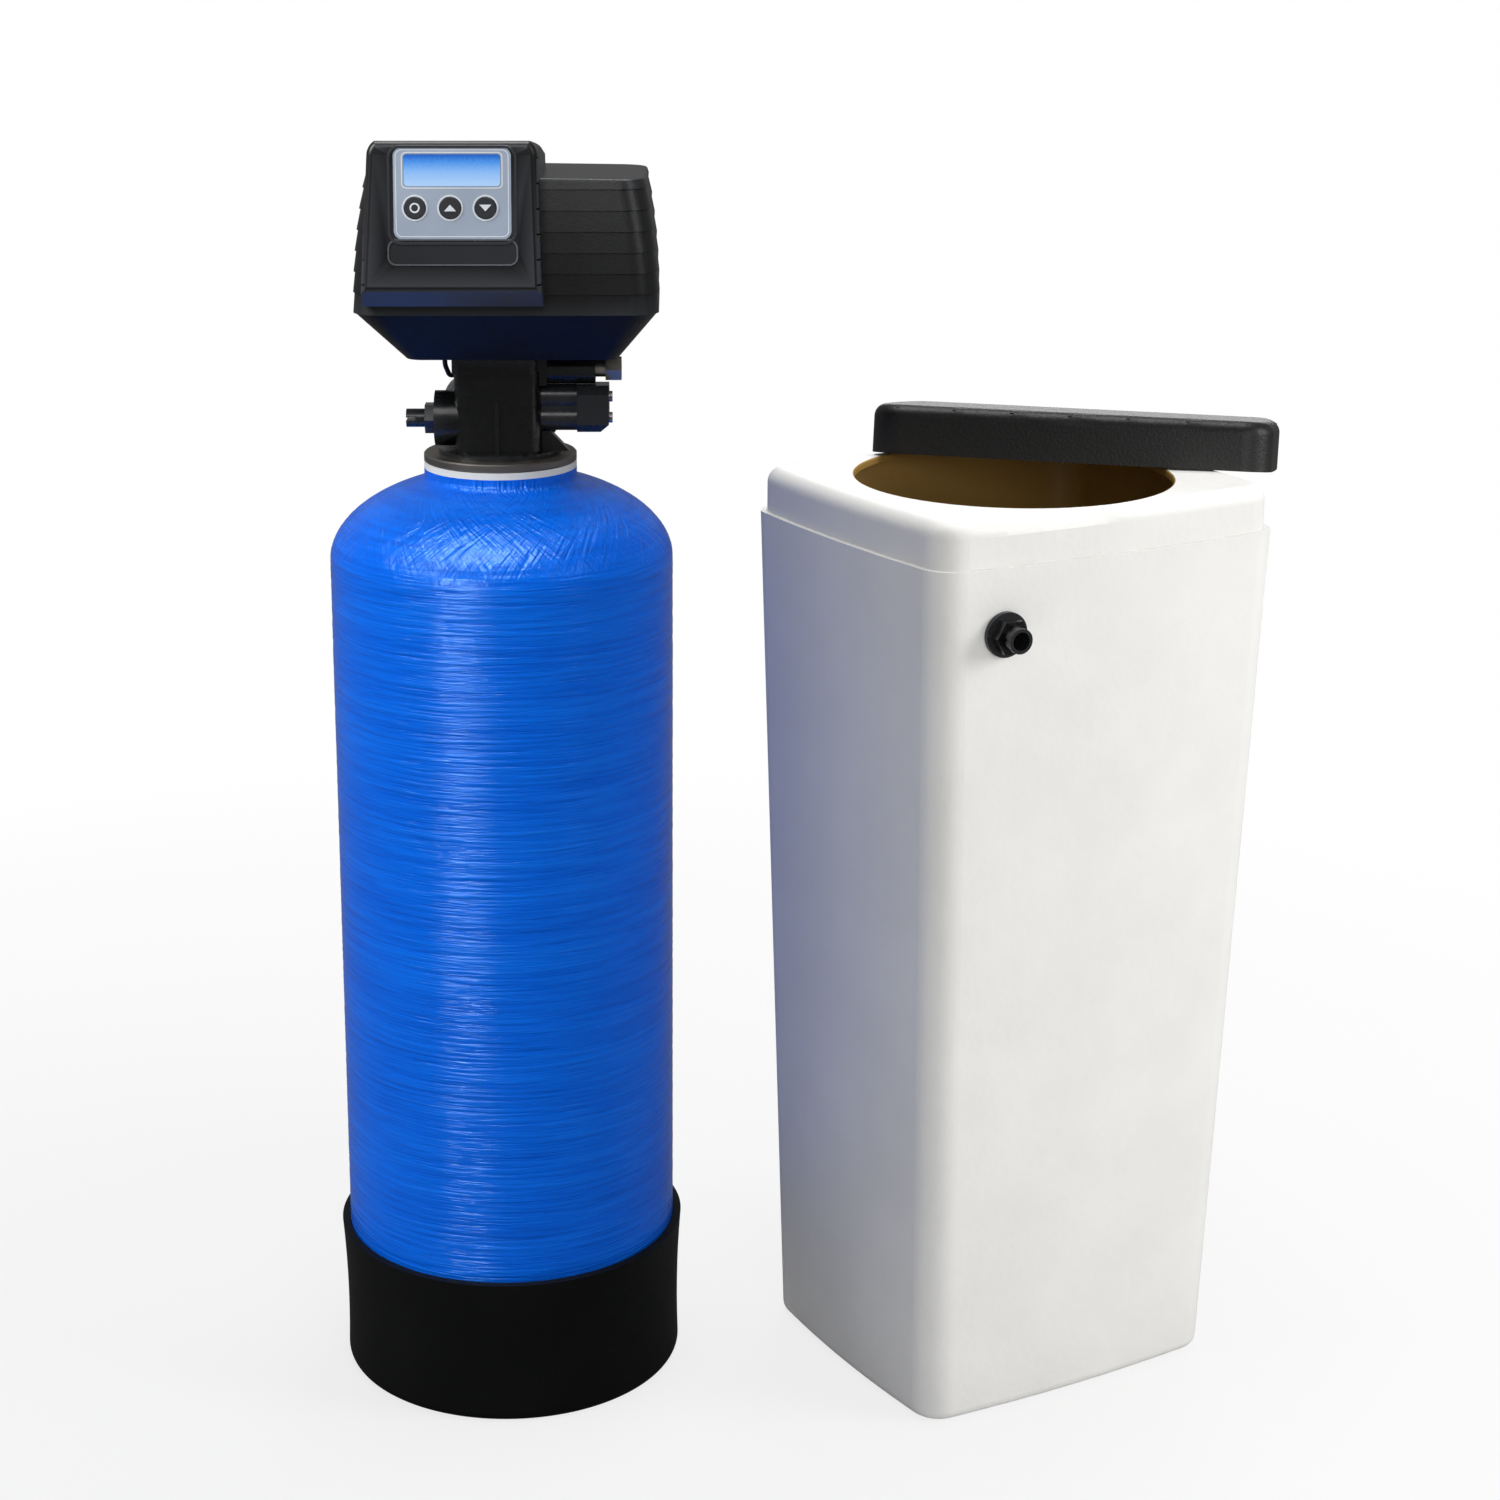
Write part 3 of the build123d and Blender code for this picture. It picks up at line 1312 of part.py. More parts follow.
# Lid: a shallow ribbed cap, turned on the tank, that rests on two of its edges and leans back
side_way = Vector(cos(radians(lid_turn)), sin(radians(lid_turn)), 0)
back_way = Vector(-sin(radians(lid_turn)), cos(radians(lid_turn)), 0)
lid_lean = back_way * tan(radians(lid_tilt)) + side_way * tan(radians(lid_roll))
lid_up = (lid_lean + Vector(0, 0, 1)).normalized()
lid_across = (side_way - lid_up * side_way.dot(lid_up)).normalized()
lid_front_mid = (tank_plane.origin + side_way * lid_side + back_way * lid_behind
                 + Vector(0, 0, rim_height + lid_lift))
lid_plane = Plane(origin=lid_front_mid + lid_up.cross(lid_across) * tank_half_depth,
                  x_dir=lid_across, z_dir=lid_up)
with BuildPart() as brine_lid:
    with BuildSketch(lid_plane):
        add(tank_face(0))
    extrude(amount=lid_height)
    lid_edges = brine_lid.faces().sort_by(Axis(lid_plane.origin, lid_up))[-1].edges()
    fillet(lid_edges, lid_round)
    with BuildSketch(lid_plane.offset(-cut_over)):
        add(tank_face(lid_wall))
    extrude(amount=lid_height - lid_plate + cut_over, mode=Mode.SUBTRACT)
    lid_rows = int((tank_half_depth - tank_crown) / lid_rib_pitch)
    lid_columns = int((tank_half_width - tank_crown) / lid_rib_pitch)
    with BuildSketch(lid_plane.offset(lid_recess)) as lid_ribs:
        add(tank_face(lid_wall / 2))
        with BuildSketch(mode=Mode.PRIVATE) as rib_lines:
            for row in range(-lid_rows, lid_rows + 1):
                with Locations((0, row * lid_rib_pitch)):
                    Rectangle(2 * tank_half_width, lid_rib)
            for column in range(-lid_columns, lid_columns + 1):
                with Locations((column * lid_rib_pitch, 0)):
                    Rectangle(lid_rib, 2 * tank_half_depth)
        add(rib_lines.sketch, mode=Mode.INTERSECT)
    extrude(amount=lid_height - lid_recess - lid_plate / 2)

# Brine well with its cap, standing in the tank
floor_top = tank_wall
well_centre = tank_plane.origin + tank_plane.x_dir * well_x + tank_plane.y_dir * well_y
well_plane = Plane(origin=well_centre, x_dir=tank_plane.x_dir, z_dir=(0, 0, 1))
with BuildPart() as brine_well:
    with BuildSketch(well_plane.offset(floor_top)):
        Circle(well_radius)
        Circle(well_radius - well_wall, mode=Mode.SUBTRACT)
    extrude(amount=well_height - floor_top)
    with BuildSketch(well_plane.offset(floor_top + well_slot_height / 2)):
        with PolarLocations(well_radius, well_slots):
            Rectangle(4 * well_wall, well_slot)
    extrude(amount=well_slot_height, mode=Mode.SUBTRACT)

with BuildPart() as well_cap:
    with BuildSketch(well_plane.offset(well_height - cap_skirt)):
        Circle(well_radius + fit_gap + cap_wall)
    extrude(amount=cap_skirt + cap_wall)
    with BuildSketch(well_plane.offset(well_height - cap_skirt)):
        Circle(well_radius + fit_gap)
    extrude(amount=cap_skirt, mode=Mode.SUBTRACT)

with BuildPart() as salt_grid:
    grid_share = tank_taper_share + (1 - tank_taper_share) * grid_height / step_height
    with BuildSketch(tank_plane.offset(grid_height)):
        add(tank_face(tank_wall + grid_inset, grid_share))
        with Locations((well_x, well_y)):
            Circle(well_radius + fit_gap, mode=Mode.SUBTRACT)
        reach_x = tank_half_width * grid_share - tank_corner
        reach_y = tank_half_depth * grid_share - tank_corner
        columns = int(reach_x / grid_pitch)
        rows = int(reach_y / grid_pitch)
        holes = [(column * grid_pitch, row * grid_pitch)
                 for column in range(-columns, columns + 1) for row in range(-rows, rows + 1)
                 if hypot(column * grid_pitch - well_x, row * grid_pitch - well_y)
                  > well_radius + 2 * grid_hole]
        with Locations(holes):
            Circle(grid_hole, mode=Mode.SUBTRACT)
    extrude(amount=grid_thickness)
    with BuildSketch(tank_plane.offset(floor_top)):
        with Locations((-grid_leg_x, -grid_leg_y), (grid_leg_x, -grid_leg_y), (-grid_leg_x, grid_leg_y)):
            Circle(grid_leg_radius)
    extrude(amount=grid_height - floor_top)

# Safety valve in the well, with the float on its rod
with BuildPart() as safety_valve:
    with BuildSketch(well_plane.offset(floor_top)):
        Circle(valve_radius + cap_wall)
        with PolarLocations(valve_radius, valve_slots):
            Rectangle(valve_radius, well_slot, mode=Mode.SUBTRACT)
    extrude(amount=valve_foot)
    with BuildSketch(well_plane.offset(floor_top + valve_foot)):
        Circle(valve_radius)
    extrude(amount=valve_height - valve_foot)
    with BuildSketch(well_plane.offset(floor_top + valve_foot)):
        Circle(float_rod_radius + running_gap)
    extrude(amount=valve_height, mode=Mode.SUBTRACT)

rod_low = floor_top + valve_foot + fit_gap
with BuildPart() as brine_float:
    with BuildSketch(well_plane.offset(rod_low)):
        Circle(float_rod_radius)
    extrude(amount=float_rod_length)
    with BuildSketch(well_plane.offset(float_rise)):
        Circle(float_radius)
    extrude(amount=float_height)
    fillet(brine_float.edges().filter_by(GeomType.CIRCLE).sort_by(SortBy.RADIUS)[-2:], cap_wall)
    for low in (float_rise - grommet_height, float_rise + float_height):
        with BuildSketch(well_plane.offset(low)):
            Circle(grommet_radius)
        extrude(amount=grommet_height)

pieces = {
    "vessel_shell": vessel_shell, "vessel_liner": vessel_liner, "vessel_boot": vessel_boot,
    "resin_bed": resin_bed, "riser_tube": riser_tube, "bottom_basket": bottom_basket,
    "top_basket": top_basket, "neck_ring": neck_ring, "valve_body": valve_body,
    "piston_seals": piston_seals, "seal_spacers": seal_spacers, "end_plug": end_plug, "piston": piston,
    "piston_rod": piston_rod, "mixing_nut": mixing_nut, "mixing_stem": mixing_stem,
    "injector_body": injector_body, "injector_cover": injector_cover, "injector_screws": injector_screws,
    "brine_stem": brine_stem, "line_fitting": line_fitting, "tube_nut": tube_nut,
    "inlet_coupling": inlet_coupling, "outlet_coupling": outlet_coupling, "port_clips": port_clips,
    "turbine_guides": turbine_guides, "meter_turbine": meter_turbine, "meter_probe": meter_probe,
    "cable_gland": cable_gland, "meter_cable": meter_cable, "base_skirt": base_skirt,
    "head_cover": head_cover, "front_bezel": front_bezel, "overlay_panel": overlay_panel,
    "display_lens": display_lens, "display_module": display_module, "front_plate": front_plate,
    "button_cycle": button_cycle, "button_up": button_up, "button_down": button_down,
    "button_rings": button_rings, "key_switches": key_switches, "circuit_board": circuit_board,
    "gear_frame": gear_frame, "drive_motor": drive_motor, "motor_pinion": motor_pinion,
    "drive_gear": drive_gear, "brine_cam": brine_cam, "flange_screws": flange_screws,
    "brine_tank": brine_tank, "brine_lid": brine_lid, "brine_well": brine_well, "well_cap": well_cap,
    "salt_grid": salt_grid, "safety_valve": safety_valve, "brine_float": brine_float,
    "overflow_fitting": overflow_fitting, "overflow_nut": overflow_nut,
}
for name, piece in pieces.items():
    piece.part.label = name
    export_step(piece.part, f"parts/{name}.step")
print(len(pieces), "pieces")
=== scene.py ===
"""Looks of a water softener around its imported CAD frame: vessel, control head, brine tank and lid.

Every length in the classes is in millimetres, as in the CAD frame, and becomes metres in to_metres().
"""

import json
import logging
import math
from dataclasses import dataclass, field
from enum import Enum
from typing import Optional, Sequence, Union

import bpy
import numpy as np
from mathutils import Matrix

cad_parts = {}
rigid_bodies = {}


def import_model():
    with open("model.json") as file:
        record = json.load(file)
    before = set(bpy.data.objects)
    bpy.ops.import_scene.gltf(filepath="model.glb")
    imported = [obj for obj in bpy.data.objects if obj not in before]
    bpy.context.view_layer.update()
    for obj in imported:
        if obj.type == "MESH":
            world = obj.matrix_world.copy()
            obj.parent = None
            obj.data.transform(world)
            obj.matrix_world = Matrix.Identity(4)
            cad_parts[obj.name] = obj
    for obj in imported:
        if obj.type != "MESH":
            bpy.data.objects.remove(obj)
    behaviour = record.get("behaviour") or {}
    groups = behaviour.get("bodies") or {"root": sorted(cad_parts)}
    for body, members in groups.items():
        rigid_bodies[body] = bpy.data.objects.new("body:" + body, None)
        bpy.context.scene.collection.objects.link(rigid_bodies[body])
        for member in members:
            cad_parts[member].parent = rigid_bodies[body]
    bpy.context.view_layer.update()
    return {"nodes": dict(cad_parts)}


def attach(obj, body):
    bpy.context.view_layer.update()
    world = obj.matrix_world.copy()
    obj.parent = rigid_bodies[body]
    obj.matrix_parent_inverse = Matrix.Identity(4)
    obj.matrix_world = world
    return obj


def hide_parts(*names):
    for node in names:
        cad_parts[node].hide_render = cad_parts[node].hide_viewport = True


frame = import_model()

MM = 0.001

# colour and relief that the plain finishes share
BLOTCH_SCALE = 18.0  # slow colour variation, in cells per metre
BLOTCH_STOPS = (0.32, 0.72)  # noise levels of the first and the second colour
EDGE_WEAR_AND_HIGHLIGHT_SPAN = (0.52, 0.6)  # pointiness at which edges start to lighten, and are fully light: partly wear, partly painted highlight
ROUGHNESS_SWING = 0.04  # either side of the mean
ROUGHNESS_LEAST = 0.03
GRAIN_SPAN = (0.3, 0.7)  # noise levels between which the roughness swings
COAT_ROUGHNESS = 0.06
CREASE_DEG = 35.0

Tree = bpy.types.NodeTree
Socket = bpy.types.NodeSocket
Material = bpy.types.Material
Value = Union[float, tuple, Socket]

logging.basicConfig(level=logging.INFO, format="%(message)s")
log = logging.getLogger("softener")


# ---------------------------------------------------------------- colour and node helpers


def linear(hex_colour: str) -> tuple[float, float, float, float]:
    """Turn an sRGB hex colour into linear RGBA.

    Args:
        hex_colour: colour as "#rrggbb".

    Returns:
        The linear colour with an alpha of one.
    """
    parts = [int(hex_colour[i : i + 2], 16) / 255 for i in (1, 3, 5)]
    return tuple(p / 12.92 if p <= 0.04045 else ((p + 0.055) / 1.055) ** 2.4 for p in parts) + (1.0,)


def add_node(tree: Tree, kind: str, settings: Optional[dict] = None, **links) -> bpy.types.Node:
    """Add one shader node with its settings, socket values and links.

    Args:
        tree: the material's or world's node tree.
        kind: Blender's node type, such as "ShaderNodeTexNoise".
        settings: attributes of the node, such as operation.
        links: socket name or s0, s1 (by number) to a value or to an output socket. Underscores in a
            name stand for spaces.

    Returns:
        The new node.
    """
    node = tree.nodes.new(kind)
    for key, value in (settings or {}).items():
        setattr(node, key, value)
    for key, value in links.items():
        name = key.replace("_", " ")
        socket = node.inputs[int(key[1:])] if key[0] == "s" and key[1:].isdigit() else node.inputs[name]
        if isinstance(value, Socket):
            tree.links.new(value, socket)
        else:
            socket.default_value = value
    return node


def ramp(tree: Tree, factor: Socket, stops: Sequence[tuple[float, str]]) -> Socket:
    """Colour ramp over a factor.

    Args:
        tree: node tree.
        factor: the socket that drives the ramp.
        stops: (place, hex colour) pairs in rising order.

    Returns:
        The ramp's colour socket.
    """
    node = add_node(tree, "ShaderNodeValToRGB", s0=factor)
    elements = node.color_ramp.elements
    while len(elements) < len(stops):
        elements.new(0.5)
    for element, (place, colour) in zip(elements, stops):
        element.position = place
        element.color = linear(colour)
    return node.outputs["Color"]


def maths(tree: Tree, operation: str, *values: Value) -> Socket:
    """Add a Math node over its values and return its result."""
    links = {f"s{number}": value for number, value in enumerate(values)}
    return add_node(tree, "ShaderNodeMath", {"operation": operation}, **links).outputs[0]


def vector_maths(tree: Tree, operation: str, *values: Value, output: str = "Vector") -> Socket:
    """Add a Vector Math node over its values and return the named result."""
    links = {f"s{number}": value for number, value in enumerate(values)}
    return add_node(tree, "ShaderNodeVectorMath", {"operation": operation}, **links).outputs[output]


def noise(tree: Tree, place: Socket, scale: float, detail: float, **more: float) -> Socket:
    """Add a noise, in cells per metre, and return its level."""
    return add_node(tree, "ShaderNodeTexNoise", Vector=place, Scale=scale, Detail=detail, **more).outputs[0]


def map_range(
    tree: Tree, value: Socket, low: float, high: float, start: float = 0.0, end: float = 1.0
) -> Socket:
    """Carry a value from low..high to start..end, held at both ends."""
    return add_node(tree, "ShaderNodeMapRange", s0=value, s1=low, s2=high, s3=start, s4=end).outputs[0]


def mix_colour(tree: Tree, share: Value, first: Value, second: Value) -> Socket:
    """Blend two colours; a share of one gives the second."""
    return add_node(tree, "ShaderNodeMix", {"data_type": "RGBA"}, s0=share, s6=first, s7=second).outputs[2]


def mix_level(tree: Tree, share: Value, first: Value, second: Value) -> Socket:
    """Blend two levels; a share of one gives the second."""
    return add_node(tree, "ShaderNodeMix", {"data_type": "FLOAT"}, s0=share, s2=first, s3=second).outputs[0]


def start_material(name: str) -> tuple[Material, Tree, bpy.types.Node, Socket]:
    """Make a material with nodes.

    Args:
        name: the material's name.

    Returns:
        The material, its tree, its main shader and the object coordinates.
    """
    material = bpy.data.materials.new(name)
    material.use_nodes = True
    tree = material.node_tree
    place = add_node(tree, "ShaderNodeTexCoord").outputs["Object"]
    return material, tree, tree.nodes["Principled BSDF"], place


class Grain(Enum):
    """How a surface was made, which sets the pattern of its relief."""

    FINE = "fine spark-eroded texture of moulded housings"
    PEEL = "soft orange peel of rotary or blow moulding"
    BRUSHED = "fine turned or drawn lines"
    SMOOTH = "polished mould"
    WOUND = "glass fibre wound round a form"


@dataclass(frozen=True)
class Finish:
    """A moulded, drawn or wound finish with relief, blotches and lighter edges: partly wear, partly painted
    highlight.

    Attributes:
        name: the material's own name.
        slot: the record's slot.
        colour: main sRGB colour.
        second: colour of its slow variation.
        roughness: mean roughness.
        grain: kind of relief.
        grain_mm: spacing of the relief in millimetres.
        relief: strength of the bump.
        metallic: 0 or 1.
        coat: clear coat weight.
        ior: index of refraction, left alone on metals.
        edge: colour of the lighter edges, partly wear and partly painted highlight, or None.
        specular: level of the mirror part, 0.5 being the plain one.
    """

    name: str
    slot: str
    colour: str
    second: str
    roughness: float = 0.5
    grain: Grain = Grain.FINE
    grain_mm: float = 1.2
    relief: float = 0.15
    metallic: float = 0.0
    coat: float = 0.0
    ior: float = 1.5
    edge: Optional[str] = None
    specular: float = 0.5

    def tint(self, tree: Tree, colour: Socket, place: Socket) -> Socket:
        """Change the colour by place, for finishes that need it.

        Args:
            tree: the material's nodes.
            colour: the colour so far.
            place: object coordinates.

        Returns:
            The colour to use.
        """
        return colour

    def build(self) -> Material:
        """Make the material's nodes: slow colour variation, relief and roughness noise.

        Returns:
            The finished material.
        """
        material, tree, shader, place = start_material(self.name)
        blotch = noise(tree, place, BLOTCH_SCALE, 3.0)
        colour = ramp(tree, blotch, list(zip(BLOTCH_STOPS, (self.colour, self.second))))
        if self.edge is not None:
            # lighter moulded edges, partly rubbed by handling and partly painted highlight: the pointiness
            # of the form picks them out
            pointed = add_node(tree, "ShaderNodeNewGeometry").outputs["Pointiness"]
            colour = mix_colour(tree, map_range(tree, pointed, *EDGE_WEAR_AND_HIGHLIGHT_SPAN), colour, linear(self.edge))
        colour = self.tint(tree, colour, place)
        tree.links.new(colour, shader.inputs["Base Color"])
        stretch = {
            Grain.BRUSHED: (0.08, 0.08, 1.0),
            Grain.WOUND: (0.03, 0.03, 1.0),
        }.get(self.grain, (1.0, 1.0, 1.0))
        scaled = add_node(tree, "ShaderNodeMapping", Vector=place, Scale=stretch).outputs[0]
        # orange peel is broader and smoother than spark erosion or brushing of the same spacing
        share, detail = (0.35, 1.5) if self.grain is Grain.PEEL else (0.6, 3.0)
        depth = self.grain_mm * MM
        fine = noise(tree, scaled, share / depth, detail, Roughness=0.6)
        bump = add_node(tree, "ShaderNodeBump", Strength=self.relief, Distance=depth * 0.5, Height=fine)
        tree.links.new(bump.outputs[0], shader.inputs["Normal"])
        least = max(ROUGHNESS_LEAST, self.roughness - ROUGHNESS_SWING)
        rough = map_range(tree, fine, *GRAIN_SPAN, least, min(1.0, self.roughness + ROUGHNESS_SWING))
        tree.links.new(rough, shader.inputs["Roughness"])
        shader.inputs["Metallic"].default_value = self.metallic
        if not self.metallic:
            shader.inputs["IOR"].default_value = self.ior
            shader.inputs["Specular IOR Level"].default_value = self.specular
        shader.inputs["Coat Weight"].default_value = self.coat
        shader.inputs["Coat Roughness"].default_value = COAT_ROUGHNESS
        return material


@dataclass(frozen=True)
class WoundResin(Finish):
    """Glass fibre wound in blue resin: hoops on the body, crossing turns on the dome, glossy and uneven.

    Attributes:
        hoop_mm: height of a hoop's streak.
        streak_mm: its length round the body.
        lead: turn of the dome's fibres, in radians per metre from the axis.
        spread_mm: radius at which the dome's noise is read.
        radial_share: how slowly the dome's pattern changes outwards.
        band_hoops: hoops in one broad band of tone.
        hoop_weight: share of the hoops against the bands in the tone.
        relief_mm: depth that the bump stands for.
        dark: tone of the deepest streaks.
        pale: tone of the palest streaks.
        glint: tint of the highlights.
        shoulder_mm: height at which the dome starts.
    """

    hoop_mm: float = 2.4
    streak_mm: float = 60.0
    lead: float = 13.0
    spread_mm: float = 60.0
    radial_share: float = 0.15
    band_hoops: float = 8.0
    hoop_weight: float = 0.75
    relief_mm: float = 1.4
    dark: str = "#014cb8"
    pale: str = "#0f72e2"
    glint: str = "#a2d2ff"
    shoulder_mm: float = 527.0

    def build(self) -> Material:
        """Hoop streaks follow the height; on the dome two families of turns cross.

        The body's noise is read at coordinates squeezed across the axis, so that each streak is
        streak_mm long round the body and hoop_mm high, with no seam. The dome's noise is read at the
        direction from the axis, turned by plus and minus the radius times the lead.

        Returns:
            The finished material.
        """
        material, tree, shader, place = start_material(self.name)
        height = add_node(tree, "ShaderNodeSeparateXYZ", s0=place).outputs[2]
        squeeze = self.hoop_mm / self.streak_mm
        along = add_node(tree, "ShaderNodeMapping", Vector=place, Scale=(squeeze, squeeze, 1.0)).outputs[0]
        fine = 1 / (self.hoop_mm * MM)
        hoops = noise(tree, along, fine, 3.0, Roughness=0.62)
        bands = noise(tree, along, fine / self.band_hoops, 2.0)
        flat = vector_maths(tree, "MULTIPLY", place, (1.0, 1.0, 0.0))
        radius = vector_maths(tree, "LENGTH", flat, output="Value")
        unit = vector_maths(tree, "NORMALIZE", flat)
        scale = {"operation": "SCALE"}
        ring = add_node(tree, "ShaderNodeVectorMath", scale, s0=unit, Scale=self.spread_mm * MM).outputs[0]
        slow = maths(tree, "MULTIPLY", radius, self.radial_share)
        lift = add_node(tree, "ShaderNodeCombineXYZ", s2=slow).outputs[0]
        crossing = []
        for way in (1.0, -1.0):
            turn = maths(tree, "MULTIPLY", radius, way * self.lead)
            about = {"rotation_type": "Z_AXIS"}
            turned = add_node(tree, "ShaderNodeVectorRotate", about, Vector=ring, Angle=turn).outputs[0]
            crossing.append(noise(tree, vector_maths(tree, "ADD", turned, lift), fine, 2.0))
        # the sum of two families, brought back to the level and the spread of one
        weave = maths(tree, "MULTIPLY_ADD", maths(tree, "ADD", *crossing), 0.8, -0.3)
        on_dome = map_range(tree, height, (self.shoulder_mm + 2) * MM, (self.shoulder_mm + 16) * MM)
        relief = mix_level(tree, on_dome, hoops, weave)
        tone = mix_level(tree, self.hoop_weight, bands, hoops)
        stops = [(0.2, self.dark), (0.42, self.colour), (0.62, self.second), (0.9, self.pale)]
        tree.links.new(ramp(tree, tone, stops), shader.inputs["Base Color"])
        bump = add_node(tree, "ShaderNodeBump", Strength=1.0, Distance=self.relief_mm * MM, Height=relief)
        tree.links.new(bump.outputs[0], shader.inputs["Normal"])
        rough = map_range(tree, relief, *GRAIN_SPAN, 0.1, 0.2)
        tree.links.new(rough, shader.inputs["Roughness"])
        shader.inputs["Specular Tint"].default_value = linear(self.glint)
        shader.inputs["IOR"].default_value = self.ior
        shader.inputs["Specular IOR Level"].default_value = self.specular
        return material


@dataclass(frozen=True)
class TankPolyethylene(Finish):
    """Blow-moulded polyethylene: white outside, with a painted brown-grey shade inside."""

    # painted shade: the brown-grey that stands for the shade inside the tank
    inside: str = "#9a783a"
    centre: tuple[float, float, float] = (312.0, 20.0, 0.0)
    floor_mm: float = 12.0

    def tint(self, tree: Tree, colour: Socket, place: Socket) -> Socket:
        """Paint shade on the faces that look towards the tank's own axis, and on the floor inside.

        Args:
            tree: the material's nodes.
            colour: the colour so far.
            place: object coordinates.

        Returns:
            The colour with the painted shade inside.
        """
        normal = add_node(tree, "ShaderNodeNewGeometry").outputs["True Normal"]
        away = vector_maths(tree, "SUBTRACT", place, tuple(c * MM for c in self.centre))
        flat = vector_maths(tree, "MULTIPLY", away, (1.0, 1.0, 0.0))
        facing = vector_maths(tree, "DOT_PRODUCT", flat, normal, output="Value")
        wall = map_range(tree, facing, -0.004, -0.02)
        upward = add_node(tree, "ShaderNodeSeparateXYZ", s0=normal).outputs[2]
        height = add_node(tree, "ShaderNodeSeparateXYZ", s0=place).outputs[2]
        level = maths(tree, "GREATER_THAN", upward, 0.5)
        low = maths(tree, "LESS_THAN", height, self.floor_mm * MM)
        # painted shade on the inner walls and on the floor inside
        painted_shade_mask = maths(tree, "MAXIMUM", wall, maths(tree, "MULTIPLY", level, low))
        return mix_colour(tree, painted_shade_mask, colour, linear(self.inside))


@dataclass(frozen=True)
class Backlit(Finish):
    """Display behind its window: a lit film, deep blue at the top and pale below."""

    low_mm: float = 758.7
    high_mm: float = 776.1
    fleck_scale: float = 1500.0
    fleck_swing: tuple[float, float] = (0.22, -0.11)
    blues: tuple[str, ...] = ("#a2c3ea", "#82b0e8", "#4a8ede", "#2063c0")
    glow: float = 0.1

    def build(self) -> Material:
        """A ramp over the height gives the blue, and a weak emission the backlight.

        Returns:
            The finished material.
        """
        material, tree, shader, place = start_material(self.name)
        height = add_node(tree, "ShaderNodeSeparateXYZ", s0=place).outputs[2]
        share = map_range(tree, height, self.low_mm * MM, self.high_mm * MM)
        flecks = maths(tree, "MULTIPLY_ADD", noise(tree, place, self.fleck_scale, 1.0), *self.fleck_swing)
        level = maths(tree, "ADD", share, flecks)
        colour = ramp(tree, level, list(zip((0.05, 0.45, 0.75, 0.95), self.blues)))
        tree.links.new(colour, shader.inputs["Base Color"])
        tree.links.new(colour, shader.inputs["Emission Color"])
        shader.inputs["Emission Strength"].default_value = self.glow
        shader.inputs["Roughness"].default_value = self.roughness
        shader.inputs["IOR"].default_value = self.ior
        return material


